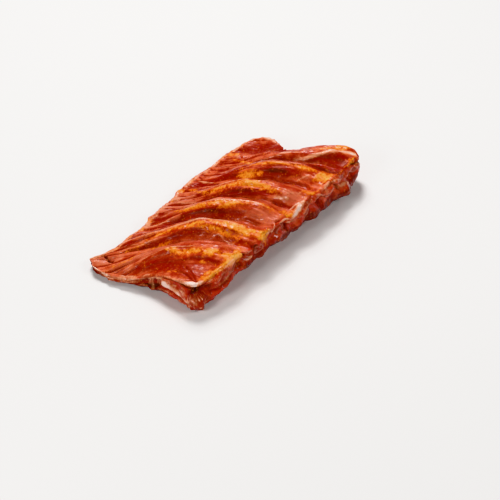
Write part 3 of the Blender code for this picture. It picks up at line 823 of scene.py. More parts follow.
level = w + LEVEL_PAST_RIM * v
on_backbone = smooth(1 - v / BACKBONE_BAND_DEPTH)
wall_fat, wall_film_and_highlight, wall_clefts_in_shade = (band_cover(long_x, level, bands) * on_backbone for bands in
                                 (WALL_FAT_BANDS, WALL_FILM_AND_HIGHLIGHT_BANDS, WALL_CLEFT_SHADE_BANDS))
print("vertices with wall fat, film and clefts:", [int((cover > 0.5).sum()) for cover in
                                                     (wall_fat, wall_film_and_highlight, wall_clefts_in_shade)])

# %% Relief of the backbone wall
PROUD = 0.0012
SUNK = 0.0028
WALL_HEIGHT = 0.036
WALL_STRETCH = 0.8
WALL_SLANT = 0.2
BLOCKS = (0.0150, 51)
BLOCK_RELIEF = 0.0012
FACETS = (0.0120, 52)
FACET_HEIGHT = 0.0005
SAW_MARKS = (0.0060, 53)
SAW_MARK_REACH = 0.030
SAW_MARK_HEIGHT = 0.00025
SPLIT_LEVEL = 0.55
SPLIT_HALF = 0.045
SPLIT_WANDER = 0.04
SPLIT_BENDS = (0.03, 57)
SPLIT_DEPTH = 0.0010

slant = WALL_HEIGHT * w - WALL_SLANT * x
blocks = lumps(WALL_STRETCH * x, slant, *BLOCKS)
facets = crinkle(WALL_STRETCH * x, slant, *FACETS)
rough_cut = SAW_MARK_HEIGHT * lumps(x + y, SAW_MARK_REACH * w, *SAW_MARKS)
split = peak(w - SPLIT_LEVEL, SPLIT_WANDER * lumps(x, y, *SPLIT_BENDS), SPLIT_HALF)
muscle = rough_cut + BLOCK_RELIEF * blocks - FACET_HEIGHT * facets - SPLIT_DEPTH * split
backbone_face = PROUD * np.clip(np.maximum(wall_fat, wall_film_and_highlight), 0, 1) - SUNK * wall_clefts_in_shade
backbone_face = backbone_face + backbone * muscle
print("relief of the wall, in mm:", in_mm(backbone_face))

# %% Bands of the near cut
NEAR_FAT_AND_GLINT_BANDS = (
    # v of the two ends, then levels, half levels and strengths at even steps between them, all in
    # hundredths, from the backbone side to the belly side
    # The pale lip and the strip of white fat, with a painted glint on them where they face the light.
    ((0, 30), (96, 98, 98, 97), (6, 3, 2.5, 2.5), (160, 110, 100, 85)),
    ((0, 7), (92, 97), (6, 4), (160, 140)),
    ((2, 25), (80, 82), (2, 2), (50, 60)),
    ((5, 20), (20, 28), (3, 3), (60, 60)),
    ((6, 31), (40, 51, 56, 60, 63), (6, 5, 6, 7, 4), (160, 170, 180, 190, 150)),
    ((10, 28), (62, 69), (2, 2), (90, 90)),
    ((12, 30), (36, 44), (3, 3), (70, 70)),
    ((34, 62), (98, 98, 96), (3, 3, 4), (80, 100, 100)),
    ((42, 60), (90, 93), (2, 3), (80, 90)),
    ((50, 66), (64, 66, 70), (3, 3, 3), (70, 80, 50)),
    ((76, 92), (86, 89), (7, 8), (120, 120)),
)
NEAR_GAP_SHADE_BANDS = (
    # the same columns; gaps, the shade under the rolled lip and the shaded lower body, all painted dark
    # red
    ((0, 6), (78, 74), (16, 12), (160, 120)),
    ((2, 28), (84, 88), (6, 5), (120, 110)),
    ((4, 30), (34, 46, 50), (4, 4, 4), (80, 80, 80)),
    ((28, 46), (84, 86, 88), (5, 5, 4), (120, 120, 90)),
    ((28, 80), (28, 30), (20, 20), (110, 100)),
    ((32, 66), (52, 52), (14, 14), (170, 160)),
    ((55, 78), (80, 84), (6, 6), (90, 80)),
    ((64, 80), (62, 64), (14, 14), (100, 100)),
    ((76, 98), (54, 58), (17, 15), (120, 100)),
)
NEAR_CUT_U = 0.02
NEAR_CUT_FOOT = (0.05, 0.1)
TORN_LEVEL = 0.80
TORN_CHANGE = 0.50
TEARS = (0.0038, 54)
TEAR_STRETCH = 0.4
TEAR_REACH = 0.024

in_near_cut = smooth(1 - u / NEAR_CUT_U) * past(w, *NEAR_CUT_FOOT)
torn = TORN_LEVEL + TORN_CHANGE * lumps(TEAR_STRETCH * y, TEAR_REACH * w, *TEARS)
near_fat_and_glint = band_cover(v, w, NEAR_FAT_AND_GLINT_BANDS, 100) * in_near_cut * torn
near_gap_shade = band_cover(v, w, NEAR_GAP_SHADE_BANDS, 100) * in_near_cut
print("vertices with film and gaps:", int((near_fat_and_glint > 0.5).sum()), int((near_gap_shade > 0.5).sum()))

# %% Relief of the near cut
SHEETS = (0.0080, 55, 9)
SHEET_HEIGHT = 0.0010
SHEET_STRETCH = 0.35
SHEET_DROP = 0.2
SHEET_REACH = 0.016
SHEET_SLANT = 0.25

sheets_along = SHEET_STRETCH * y - SHEET_DROP * z
layers = np.abs(lumps(sheets_along, SHEET_REACH * w + SHEET_SLANT * y, *SHEETS))
sheets = SHEET_HEIGHT * (np.clip(layers, 0, 1) - 0.5)
near_face = PROUD * np.clip(near_fat_and_glint, 0, 1) - SUNK * near_gap_shade
near_face = near_face + near_cut * (sheets + rough_cut)
print("relief of the near cut, in mm:", in_mm(near_face))

# %% [markdown]
# ## The thin sides and the near corner
# The belly side and the far end are thin, so their edge tucks in under the top sheet, with seams between
# the layers of meat. Two small tabs stand out from the belly rim. In the near corner the cut went through
# a round, marbled muscle, with a hollow above it that is painted dark as shade.

# %% Relief of the thin sides
TUCK = 0.0016
TUCK_TOP = (0.80, 0.35)
TUCK_FOOT = (0.05, 0.2)
FAR_SIDE_START = (0.2, 0.2)
FAR_LAYERS = (0.0085, 59)
FAR_LAYER_STRETCH = 0.30
FAR_LAYER_REACH = 0.022
FAR_LAYER_SLANT = 0.12
FAR_LAYER_HEIGHT = 0.0008
FAR_FACET_HEIGHT = 0.0010
FACET_MIDDLE = 0.6
SEAM_SIZE = (0.22, 0.16)
SEAM_DEPTH = 0.0009
SEAM_LEVELS = (0.10, 0.94, 0.10)
TAB_START = (0.3, 0.4)
RIM_TABS = ((-0.049, 0.0035, 0.0020), (-0.003, 0.0040, 0.0018))

tuck = before(w, *TUCK_TOP) * past(w, *TUCK_FOOT)
thin_sides = np.maximum(belly_side, far_end * past(v, *FAR_SIDE_START))
far_slant = FAR_LAYER_REACH * w + FAR_LAYER_SLANT * y
far_layers = np.abs(lumps(FAR_LAYER_STRETCH * y, far_slant, *FAR_LAYERS))
far_seams = before(far_layers, *SEAM_SIZE) * far_end * window(w, *SEAM_LEVELS)
far_face = rough_cut + FAR_FACET_HEIGHT * (facets - FACET_MIDDLE)
far_face = far_face + FAR_LAYER_HEIGHT * np.clip(far_layers, 0, 1)
side_face = thin_sides * (rough_cut - TUCK * tuck) - SEAM_DEPTH * far_seams + far_end * far_face
rim_tabs = sum(height * peak(long_x, middle, half) for middle, half, height in RIM_TABS)
rim_tabs = rim_tabs * belly_side * past(w, *TAB_START)
print("relief of the thin sides, in mm:", in_mm(side_face))

# %% Relief of the near corner
KNOB_SHARES = (0.09, 0.14)
KNOB_LEVELS = (0.10, 0.52, 0.06)
CORNER_KNOB_RELIEF = 0.0012
MARBLING = (0.0042, 58)
MARBLING_START = (0.76, 0.18)
MARBLING_HEIGHT = 0.0005
HOLLOW_REACH = 1.6
HOLLOW_SHARE = 0.05
HOLLOW_LEVELS = (0.58, 0.90, 0.07)
HOLLOW_DEPTH = 0.0022

corner_knob = smooth(1 - u / KNOB_SHARES[0]) * smooth(1 - v / KNOB_SHARES[1])
corner_knob = corner_knob * window(w, *KNOB_LEVELS)
marbled = crinkle(x + y, WALL_HEIGHT * w, *MARBLING)
marbling = past(marbled, *MARBLING_START) * corner_knob
in_corner = smooth(HOLLOW_REACH - u / HOLLOW_SHARE) * smooth(HOLLOW_REACH - v / HOLLOW_SHARE)
# The hollow is sunk, and in the colour it is painted dark as shade.
corner_hollow = in_corner * window(w, *HOLLOW_LEVELS) * (1 - top)
corner_face = CORNER_KNOB_RELIEF * corner_knob + MARBLING_HEIGHT * marbling - HOLLOW_DEPTH * corner_hollow
wall_relief = backbone_face + near_face + side_face + corner_face + rim_tabs
print("vertices in the corner's hollow:", int((corner_hollow > 0.5).sum()))

# %% The V crease and the torn slit
V_CREASES = (((-0.62, -0.0290), (-0.80, -0.0370), (-1.00, -0.0450), (-1.16, -0.0510)),
             ((-0.78, -0.0240), (-0.92, -0.0360), (-1.08, -0.0460), (-1.20, -0.0515)))
V_CREASE_WIDTH = 0.0009
V_CREASE_DEPTH = 0.0012
SLIT = ((0.66, 0.0580), (0.55, 0.0500), (0.44, 0.0440), (0.38, 0.0400))
SLIT_WIDTH = 0.0011
SLIT_DEPTH = 0.0030
SLIT_STEP = 0.0018
SLIT_STEP_PLACE = (0.50, 0.06)
SLIT_STEP_Y = (0.038, 0.006)
SLIT_STEP_REACH = 0.010


def line_distance(points):
    """The distance of each vertex in plan from a broken line through points given as rib place
    and Y."""
    corners = np.array([(float(x_at(p, q)), q) for p, q in points])
    spot = np.stack([x, y], -1)
    nearest = np.full(len(base), 1.0)
    for start, end in zip(corners, corners[1:]):
        run = end - start
        share = np.clip(((spot - start) @ run) / (run @ run), 0, 1)
        nearest = np.minimum(nearest, np.linalg.norm(spot - start - share[:, None] * run, axis=1))
    return nearest


v_crease = np.maximum.reduce([peak(line_distance(line), 0, V_CREASE_WIDTH) for line in V_CREASES]) * top
slit_distance = line_distance(SLIT)
slit = peak(slit_distance, 0, SLIT_WIDTH) * top
tip_side = smooth(0.5 - (place - SLIT_STEP_PLACE[0]) / SLIT_STEP_PLACE[1])
tip_side = tip_side * past(y, *SLIT_STEP_Y) * peak(slit_distance, 0, SLIT_STEP_REACH)
print("vertices in the slit:", int((slit > 0.5).sum()))

# %% Move the skin by its relief
UNDERSIDE_W = 0.02

relief = top_relief + wall_relief - V_CREASE_DEPTH * v_crease - SLIT_DEPTH * slit - SLIT_STEP * tip_side
relief = np.where(w < UNDERSIDE_W, 0.0, relief)
normals = np.empty(len(base) * 3, np.float32)
skin_mesh.vertex_normals.foreach_get("vector", normals)
skin = base + CAD_CENTRE + relief[:, None] * normals.reshape(-1, 3)
skin[:, 2] = np.maximum(skin[:, 2], 0.0)
skin_mesh.vertices.foreach_set("co", skin.ravel())
skin_mesh.update()
print("relief in all, in mm:", in_mm(relief))

# %% [markdown]
# ## Masks on the skin
# The material has to know where the fat, the film and the cut faces are, and where light and shade are
# painted into the colour. The same arrays that shaped the relief are stored on the mesh as named
# attributes, so colour and form always agree.
# Vertex paint would hold them too, but it can't be worked out again when a value changes.
#
# A pair is again where a change starts, or ends, and how long its fade is. For a bump it is the
# middle and the half width.

# %% Painted highlights on the rims, the rolled lip and the wall's blocks, and pale streaks of the cut faces
ROLL_SHARES = (0.30, 0.76, 0.05)
ROLL_START = (0.66, 0.08)
EDGE_LINE_LEVEL = (0.97, 0.05)
EDGE_LINE_FAR_START = (0.5, 0.1)
HUMP_RIM_START = (0.80, 0.06)
HUMP_RIM_LEVEL = (0.88, 0.12)
BLOCK_TOPS = (0.35, 0.6)
BLOCK_LEVEL_START = (0.45, 0.2)
SHEET_EDGES = (0.55, 0.4)
SHEET_LEVEL_END = (0.85, 0.1)

# The rolled lip of the near cut, the pale line along the thin rims and the hump's rim, and the tops of
# the wall's blocks are painted pale as highlight. The rolled lip also gets film pink as a painted sheen.
roll = near_cut * window(v, *ROLL_SHARES) * past(w, *ROLL_START)
thin_edges = np.maximum(belly_side, far_end * past(v, *EDGE_LINE_FAR_START))
edge_highlight = peak(w, *EDGE_LINE_LEVEL) * thin_edges
hump_rim_highlight = far_end * past(v, *HUMP_RIM_START) * peak(w, *HUMP_RIM_LEVEL)
block_highlight = backbone * past(blocks, *BLOCK_TOPS) * past(w, *BLOCK_LEVEL_START)
cut_streak = near_cut * past(np.clip(layers, 0, 1), *SHEET_EDGES) * before(w, *SHEET_LEVEL_END)
print("vertices in the rolled lip:", int((roll > 0.5).sum()))

# %% Painted highlights on the folds and rim of the belly side, and fat on the rim
PLEAT_TOPS = (0.80, 0.20)
FINE_PLEAT_TOPS = (0.55, 0.35)
BELLY_RIM_START = (0.93, 0.05)
BELLY_RIM_END = (5.1, 0.3)
BELLY_RIM_STREAKS = (0.50, 0.35, 0.012, 0.050, 63)
RIM_FAT_START = (0.970, 0.020)
RIM_FAT_LEVEL = 0.75
RIM_FAT_STREAKS = (0.38, 0.30, 0.010, 0.050, 65)
RIM_LINE_START = (0.980, 0.014)
RIM_LINE_LEVEL_START = (0.80, 0.10)
RIM_LINE_STREAKS = (1.0, 0.25, 0.014, 0.050, 66)


def streaky(level, change, *pattern):
    """A level that goes up and down in streaks along the ribs."""
    return level + change * streaks(*pattern)


# The pale tops of the pleats and the pale lines along the belly rim are painted highlight.
pleat_highlight = on_belly * past(broad, *PLEAT_TOPS) * past(fine, *FINE_PLEAT_TOPS)
belly_rim_highlight = past(v, *BELLY_RIM_START) * top * streaky(*BELLY_RIM_STREAKS)
belly_rim_highlight = belly_rim_highlight * before(place, *BELLY_RIM_END)
rim_fat = past(v, *RIM_FAT_START) * streaky(*RIM_FAT_STREAKS) * (w > RIM_FAT_LEVEL)
rim_line_highlight = past(v, *RIM_LINE_START) * past(w, *RIM_LINE_LEVEL_START) * streaky(*RIM_LINE_STREAKS)
print("strongest fat on the rim:", round(float(rim_fat.max()), 2))

# %% How pale and how red the skin is, with painted highlights and painted shade
GROOVE_END = (0.64, 0.38)
FINE_GROOVE_LESS = 0.20
HOLLOW_END = (-0.15, 0.5)
ROLL_SHEEN = 0.7
ROLL_SHEEN_LAYERS = 0.5


def strongest(*masks):
    """The strongest of several masks at each vertex. Each one comes after its weight."""
    return np.maximum.reduce([weight * mask for weight, mask in masks])


# Pale: sinews, fat lips, film and marbling, and also painted highlights on the crests, the rims, the
# rolled lip, the wall's bulges and the near cut's strip.
pale = strongest(
    (1.0, sinew_and_highlight), (1.0, wall_film_and_highlight), (1.0, near_fat_and_glint), (1.1, edge_highlight), (0.40, block_highlight),
    (0.50, cut_streak), (1.4, marbling), (0.25, pleat_highlight), (0.60, belly_rim_highlight), (0.9, far_seams),
    (1.2, hump_rim_highlight), (0.65, roll * (ROLL_SHEEN + ROLL_SHEEN_LAYERS * layers)), (0.70, rim_line_highlight))
# No pale in the corner's hollow, which is painted as shade.
pale = pale * (1 - corner_hollow)
# Painted shade: the grooves of the pleats, the hollows between the wall's blocks, the V crease, the slit
# and the corner's hollow are painted dark red where shade falls, and the clefts and gaps add theirs. The
# corner knob's red is its own colour.
groove_shade = on_belly * before(np.minimum(broad, fine + FINE_GROOVE_LESS), *GROOVE_END)
hollow_shade = backbone * before(blocks, *HOLLOW_END)
shade_and_deep_red = strongest(
    (1.0, dark_red_and_shade), (0.95, groove_shade), (1.0, wall_clefts_in_shade), (1.0, near_gap_shade), (0.6, hollow_shade),
    (0.7, v_crease), (1.3, slit), (1.5, corner_hollow), (0.6, corner_knob * (1 - marbling)))
print("share pale:", share_over(pale, 0.5), "and deep red:", share_over(shade_and_deep_red, 0.5))

# %% Cut faces in painted shade, and the tone of the meat with painted light and shade
BACKBONE_CUT_SHADE = 0.95
BACKBONE_CUT_END = (0.54, 0.16)
BACKBONE_CUT_X = (-0.052, 0.012)
NEAR_CUT_SHADE = 0.85
NEAR_CUT_END = (0.94, 0.10)
NEAR_CUT_SHARE = (0.30, 0.04)
MIDDLE_TONE = 0.40
BROAD_FOLD_TONE = 0.75
FINE_FOLD_TONE = 0.50
MIDDLE_FOLD = 0.62
TONE_STREAKS = (0.010, 0.040, 61)
TONE_STREAK_CHANGE = 0.20
TONE_LUMPS = (0.011, 62)
TONE_LUMP_CHANGE = 0.18
WALL_SHADE_TONE = 0.10
FILM_FOLD_LIGHT_AND_SHADE = 0.35
CLEFT_SHADE_TONE = 0.4

# The low parts of the sawn wall and of the near cut are painted darker: partly the colour of cut meat,
# partly painted shade.
sawn = BACKBONE_CUT_SHADE * backbone * before(w, *BACKBONE_CUT_END)
sawn = sawn * smooth(0.5 + (long_x - BACKBONE_CUT_X[0]) / BACKBONE_CUT_X[1])
sliced_face_shade = NEAR_CUT_SHADE * near_cut * before(w, *NEAR_CUT_END) * (1 - corner_knob)
sliced_face_shade = sliced_face_shade * smooth(0.5 + (v - NEAR_CUT_SHARE[0]) / NEAR_CUT_SHARE[1])
walls = np.maximum(backbone, near_cut)
# Besides its random streaks and lumps, the tone holds painted light and shade: lighter on the tops of the
# pleats and of the film's folds, darker in their grooves, in the clefts and gaps, and on all walls.
pleat_light_and_shade = BROAD_FOLD_TONE * (broad - MIDDLE_FOLD) + FINE_FOLD_TONE * (fine - MIDDLE_FOLD)
tone = MIDDLE_TONE + on_belly * pleat_light_and_shade + TONE_STREAK_CHANGE * streaks(*TONE_STREAKS)
tone = tone + TONE_LUMP_CHANGE * lumps(x, y, *TONE_LUMPS) - WALL_SHADE_TONE * walls
tone = tone + FILM_FOLD_LIGHT_AND_SHADE * film * (film_folds - 0.5) - CLEFT_SHADE_TONE * np.maximum(wall_clefts_in_shade, near_gap_shade)
print("the tone runs from", round(float(tone.min()), 2), "to", round(float(tone.max()), 2))

# %% Store the masks
def store(mesh, name, values):
    """Keep one number for each vertex under a name that materials can read."""
    layer = mesh.attributes.new(name, "FLOAT", "POINT")
    layer.data.foreach_set("value", np.asarray(values, np.float32))


# Painted light is stored with the rest. The pale mask holds painted highlights as well as sinew, fat and
# film. The deep mask and the cut mask hold painted shade. The film mask holds the rolled lip's painted
# sheen, and the tone holds painted light and shade on folds, clefts and walls.
masks = {"fat": np.maximum.reduce([fat, wall_fat, rim_fat]) * (1 - corner_hollow),
         "dark_red_and_shade": shade_and_deep_red, "film": np.maximum(film, roll), "pale": pale,
         "cut_and_shade": np.maximum(sawn, sliced_face_shade), "tone": tone, "wet": walls}
for name, values in masks.items():
    store(skin_mesh, name, values)
print("attributes:", [a.name for a in skin_mesh.attributes if a.data_type == "FLOAT"])

# %% [markdown]
# ## A map that runs with the ribs
# Muscle fibres lie along the ribs, so their texture needs a map whose first coordinate is the rib
# place. A map straight from above would be simpler, but its fibres would cut across the curved
# ribs. On the walls the map goes round the rim and up.

# %% The map
MAP_UNIT = 0.030

steps = np.linalg.norm(base[rim] - base[np.roll(rim, -1)], axis=1)
around = np.append(0, np.cumsum(steps)) / MAP_UNIT
top_map = np.stack([place, y / MAP_UNIT], -1)[top_faces]
across = np.stack([around[:-1], around[:-1], around[1:], around[1:]], -1)
ring_map = [np.stack([across, base[ring, 2] / MAP_UNIT], -1) for ring in ring_faces]
flat_map = base[rings[-1][::-1], :2] / MAP_UNIT
loops = [top_map.ravel()] + [part.ravel() for part in ring_map] + [flat_map.ravel()]
uv_layer = skin_mesh.uv_layers.new(name="along_the_ribs")
uv_layer.data.foreach_set("uv", np.concatenate(loops).astype(np.float32))
print("the rim is", round(float(around[-1]) * MAP_UNIT, 3), "m round")

# %% [markdown]
# ## Tools for materials
# Materials are graphs of nodes. A few small functions keep their code short: they add a node and
# link or set its inputs, mix two colours, or ease a value. Effects that are used more than once are
# node groups with named sockets. Each graph could be drawn by hand in Blender instead, but text can
# be read, compared and run again.

# %% Node helpers
def connect(tree, node, inputs):
    """Give a node its inputs: another node's output is linked, and anything else is set as its
    value."""
    for name, value in inputs.items():
        socket = node.inputs[name]
        if isinstance(value, bpy.types.NodeSocket):
            tree.links.new(value, socket)
        else:
            socket.default_value = value


def add(tree, kind, inputs=None, **settings):
    """Add a node with its settings and inputs."""
    node = tree.nodes.new("ShaderNode" + kind)
    for name, value in settings.items():
        setattr(node, name, value)
    connect(tree, node, inputs or {})
    return node


def blend(tree, share, start, end):
    """A colour that goes from start to end as the share goes from 0 to 1."""
    return add(tree, "Mix", {0: share, 6: start, 7: end}, data_type="RGBA").outputs[2]


def arithmetic(tree, operation, a, b=0.0, c=0.0):
    """One step of arithmetic between two or three numbers or outputs."""
    return add(tree, "Math", {0: a, 1: b, 2: c}, operation=operation).outputs[0]


def times(tree, a, b):
    """The one times the other."""
    return arithmetic(tree, "MULTIPLY", a, b)


def plus(tree, start, *parts):
    """The start plus each part, which is a value and the amount that it is multiplied by."""
    for value, amount in parts:
        start = arithmetic(tree, "MULTIPLY_ADD", value, amount, start)
    return start


def swung(tree, start, *noises):
    """The start moved up and down by noises: plus each noise less a half, times its amount."""
    for noise, amount in noises:
        start = plus(tree, start, (arithmetic(tree, "SUBTRACT", noise, 0.5), amount))
    return start


def eased(tree, value, start, end):
    """0 where the value is at start or below, 1 at end or above, and eased between them."""
    node = add(tree, "MapRange", {"Value": value, "From Min": start, "From Max": end},
               interpolation_type="SMOOTHSTEP")
    return node.outputs["Result"]


def cloudy(tree, vector, scale, detail, roughness=0.5):
    """Noise between about 0 and 1, with so many patches to the metre."""
    node = add(tree, "TexNoise", {"Vector": vector, "Scale": scale, "Detail": detail,
                                  "Roughness": roughness})
    return node.outputs["Fac"]


print("helpers:", [tool.__name__ for tool in (connect, add, blend, times, plus, swung, eased, cloudy)])

# %% Groups and materials
def group(name, inputs, outputs):
    """An empty node group with named sockets, and its input and output nodes."""
    tree = bpy.data.node_groups.new(name, "ShaderNodeTree")
    for label, kind, default in inputs:
        socket = tree.interface.new_socket(label, in_out="INPUT", socket_type="NodeSocket" + kind)
        if default is not None:
            socket.default_value = default
    for label, kind in outputs:
        tree.interface.new_socket(label, in_out="OUTPUT", socket_type="NodeSocket" + kind)
    return tree, tree.nodes.new("NodeGroupInput"), tree.nodes.new("NodeGroupOutput")


def use(tree, node_group, inputs):
    """Place a node group in a material and give it its inputs."""
    return add(tree, "Group", inputs, node_tree=node_group)


def new_material(name):
    """A material, its node tree and its shader."""
    material = bpy.data.materials.new(name)
    material.use_nodes = True
    return material, material.node_tree, material.node_tree.nodes["Principled BSDF"]


print("node groups so far:", len(bpy.data.node_groups))

# %% [markdown]
# ## Ragged edges
# No patch of fat has a clean edge. The first group adds noise to a mask and eases it back to a
# crisp but uneven border, so that broad masks on the mesh turn into small flecks in the finish. A
# finer mesh could carry the flecks as well, but it would need many times the vertices.

# %% Group: ragged cover
# detail and roughness; the scale of the flecks is an input
FLECK_NOISE = (4.0, 0.6)

ragged_cover, given, result = group(
    "ragged_cover",
    [("Vector", "Vector", None), ("Cover", "Float", 0.5), ("Scale", "Float", 400.0),
     ("Raggedness", "Float", 0.6), ("Softness", "Float", 0.2)],
    [("Cover", "Float")])
flecks = cloudy(ragged_cover, given.outputs["Vector"], given.outputs["Scale"], *FLECK_NOISE)
shifted = swung(ragged_cover, given.outputs["Cover"], (flecks, given.outputs["Raggedness"]))
low = arithmetic(ragged_cover, "SUBTRACT", 0.5, given.outputs["Softness"])
high = arithmetic(ragged_cover, "ADD", 0.5, given.outputs["Softness"])
connect(ragged_cover, result, {"Cover": eased(ragged_cover, shifted, low, high)})
print("group:", ragged_cover.name, [socket.name for socket in ragged_cover.interface.items_tree])

# %% [markdown]
# ## The marinade
# The marinade is oil with ground red pepper. It lies thicker in some places, it holds small dark
# and orange grains, and it is wet in some places more than in others. Meat and bone both wear it,
# so it is one group that takes the colour below it and gives back the coated colour, a roughness
# and a height. Two copies of the same nodes would drift apart at the first change.
#
# A noise is written as its scale, detail and roughness, and a range as the value where a cover
# starts and the value where it is full. A range that runs down covers the low values.

# %% Group: marinade
MARINADE_THICK = (0.30, 0.012, 0.004, 1.0)
PEPPER_DARK = (0.12, 0.012, 0.005, 1.0)
PEPPER_ORANGE = (0.80, 0.22, 0.03, 1.0)
POOL_NOISE = (110.0, 5.0, 0.62)
POOLS = (0.40, 0.72)
PATCH_NOISE = (190.0, 2.0)
DARK_GRAINS = (640.0, (0.30, 0.18), (0.50, 0.62))
DARK_GRAIN_HEIGHT = 0.5
ORANGE_GRAINS = (460.0, (0.34, 0.16), (0.50, 0.38))
ORANGE_GRAIN_HEIGHT = 0.4
DRY_NOISE = (260.0, 4.0)
DRY_HEIGHT = 0.8
LEAST_ROUGH = 0.16
DRY_ROUGHER = 0.32

marinade, given, result = group(
    "marinade",
    [("Vector", "Vector", None), ("Colour", "Color", (0.5, 0.1, 0.05, 1.0)),
     ("Thickness", "Float", 0.5), ("Grains", "Float", 0.6)],
    [("Colour", "Color"), ("Roughness", "Float"), ("Height", "Float")])
spot = given.outputs["Vector"]
patches = cloudy(marinade, spot, *PATCH_NOISE)


def grains(scale, edge, patch):
    """A mask of small round grains: near the points of a cell pattern, and only in some patches."""
    points = add(marinade, "TexVoronoi", {"Vector": spot, "Scale": scale}).outputs["Distance"]
    return times(marinade, eased(marinade, points, *edge), eased(marinade, patches, *patch))


dark_grain, orange_grain = grains(*DARK_GRAINS), grains(*ORANGE_GRAINS)
pools = eased(marinade, cloudy(marinade, spot, *POOL_NOISE), *POOLS)
coated = given.outputs["Colour"]
for cover, strength, tint in ((pools, "Thickness", MARINADE_THICK), (dark_grain, "Grains", PEPPER_DARK),
                              (orange_grain, "Grains", PEPPER_ORANGE)):
    coated = blend(marinade, times(marinade, cover, given.outputs[strength]), coated, tint)
dry = cloudy(marinade, spot, *DRY_NOISE)
orange_height = times(marinade, orange_grain, ORANGE_GRAIN_HEIGHT)
connect(marinade, result, {
    "Colour": coated, "Roughness": plus(marinade, LEAST_ROUGH, (dry, DRY_ROUGHER)),
    "Height": plus(marinade, orange_height, (dark_grain, DARK_GRAIN_HEIGHT), (dry, DRY_HEIGHT))})
print("group:", marinade.name, "with", len(marinade.nodes), "nodes")

# %% [markdown]
# ## Fibres
# Muscle is made of bundles of fibres that run along the ribs. Noise that is stretched along the
# map gives such bundles with no two alike, where a wave texture would draw even stripes.

# %% Group: fibres
STRAND_NOISE = {"Detail": 3.0, "Roughness": 0.55, "Distortion": 0.4}

fibres, given, result = group(
    "fibres",
    [("Map", "Vector", None), ("Count", "Float", 60.0), ("Stretch", "Float", 0.06)],
    [("Fibre", "Float")])
apart = add(fibres, "SeparateXYZ", {"Vector": given.outputs["Map"]})
lengthwise = times(fibres, apart.outputs["Y"], given.outputs["Stretch"])
stretched = add(fibres, "CombineXYZ", {"X": apart.outputs["X"], "Y": lengthwise})
strands = add(fibres, "TexNoise", {"Vector": stretched.outputs[0], "Scale": given.outputs["Count"],
                                   **STRAND_NOISE})
connect(fibres, result, {"Fibre": strands.outputs["Fac"]})
print("group:", fibres.name, "with", len(fibres.nodes), "nodes")

# %% [markdown]
# ## The meat
# From below to above: brick red to salmon meat with fibres along the ribs, a redder wash on the wet
# walls, the darker cut faces with painted shade low on the walls, the pink film, the deep red with
# painted shade in the creases, hollows and near slopes, the fat from orange to yellow, the pale sinews
# with painted highlights on crests, rims and bulges, and over all of them the wet marinade. One painted
# image would do for one view, but layers stay sharp from close by, and each can be changed alone.
#
# Light goes a little way into meat, so it has some subsurface scattering, and the oil is a thin
# coat on top.

# %% Meat: what its layers read
BROAD_FIBRES = {"Count": 26.0, "Stretch": 0.10}
FINE_FIBRES = {"Count": 70.0, "Stretch": 0.14}
MOTTLE_NOISE = (230.0, 5.0, 0.70)
SPICE_NOISE = (560.0, 4.0, 0.7)

meat, tree, shader = new_material("marinated_meat")
spot = add(tree, "TexCoord").outputs["Object"]
mask = {name: add(tree, "Attribute", attribute_name=name).outputs["Fac"] for name in masks}
rib_map = add(tree, "UVMap", uv_map="along_the_ribs").outputs["UV"]
fibre = use(tree, fibres, {"Map": rib_map, **BROAD_FIBRES}).outputs["Fibre"]
fine_fibre = use(tree, fibres, {"Map": rib_map, **FINE_FIBRES}).outputs["Fibre"]
mottle, spice = cloudy(tree, spot, *MOTTLE_NOISE), cloudy(tree, spot, *SPICE_NOISE)


def ragged(name, scale, raggedness, softness):
    """A mask of the skin with ragged edges: the scale of its flecks, how far they swing the mask
    and how soft the edge is."""
    return use(tree, ragged_cover, {"Vector": spot, "Cover": mask[name], "Scale": scale,
                                    "Raggedness": raggedness, "Softness": softness}).outputs["Cover"]


print("masks read:", sorted(mask))

# %% Meat: fibres, wet walls, and cut faces with painted shade
BRICK = (0.33, 0.013, 0.002, 1.0)
SALMON = (0.60, 0.130, 0.062, 1.0)
WALL_RED = (0.60, 0.036, 0.018, 1.0)
WALL_RED_SHARE = 0.45
CUT_MEAT_IN_SHADE = (0.14, 0.005, 0.002, 1.0)
CUT_PALE = (0.36, 0.050, 0.020, 1.0)
TONE_RANGE = (0.10, 0.90)
CUT_NOISE = (180.0, 5.0, 0.6)
CUT_PATCHES = (0.46, 0.68)
CUT_EDGE = (200.0, 0.5, 0.25)

fibred = swung(tree, mask["tone"], (fibre, 0.8), (fine_fibre, 0.6), (mottle, 1.4), (spice, 0.9))
colour = blend(tree, eased(tree, fibred, *TONE_RANGE), BRICK, SALMON)
colour = blend(tree, times(tree, mask["wet"], WALL_RED_SHARE), colour, WALL_RED)
# Darker cut meat, which also paints the shade low on the walls.
cut_patches = eased(tree, cloudy(tree, spot, *CUT_NOISE), *CUT_PATCHES)
cut_and_shade_colour = blend(tree, cut_patches, CUT_MEAT_IN_SHADE, CUT_PALE)
colour = blend(tree, ragged("cut_and_shade", *CUT_EDGE), colour, cut_and_shade_colour)
print("nodes so far:", len(tree.nodes))

# %% Meat: film, deep red and painted shade
FILM_PINK = (0.57, 0.155, 0.088, 1.0)
FILM_SHARE = 0.78
DEEP_RED_AND_SHADE = (0.21, 0.0006, 0.0001, 1.0)
PAINTED_HOLLOW_SHADE = (0.05, 0.003, 0.001, 1.0)
DEEP_SHARE = 0.96
FILM_EDGE = (240.0, 0.9, 0.40)
DEEP_EDGE = (300.0, 0.9, 0.36)
HOLLOW_SHADE_RANGE = (1.0, 1.5)

colour = blend(tree, times(tree, ragged("film", *FILM_EDGE), FILM_SHARE), colour, FILM_PINK)
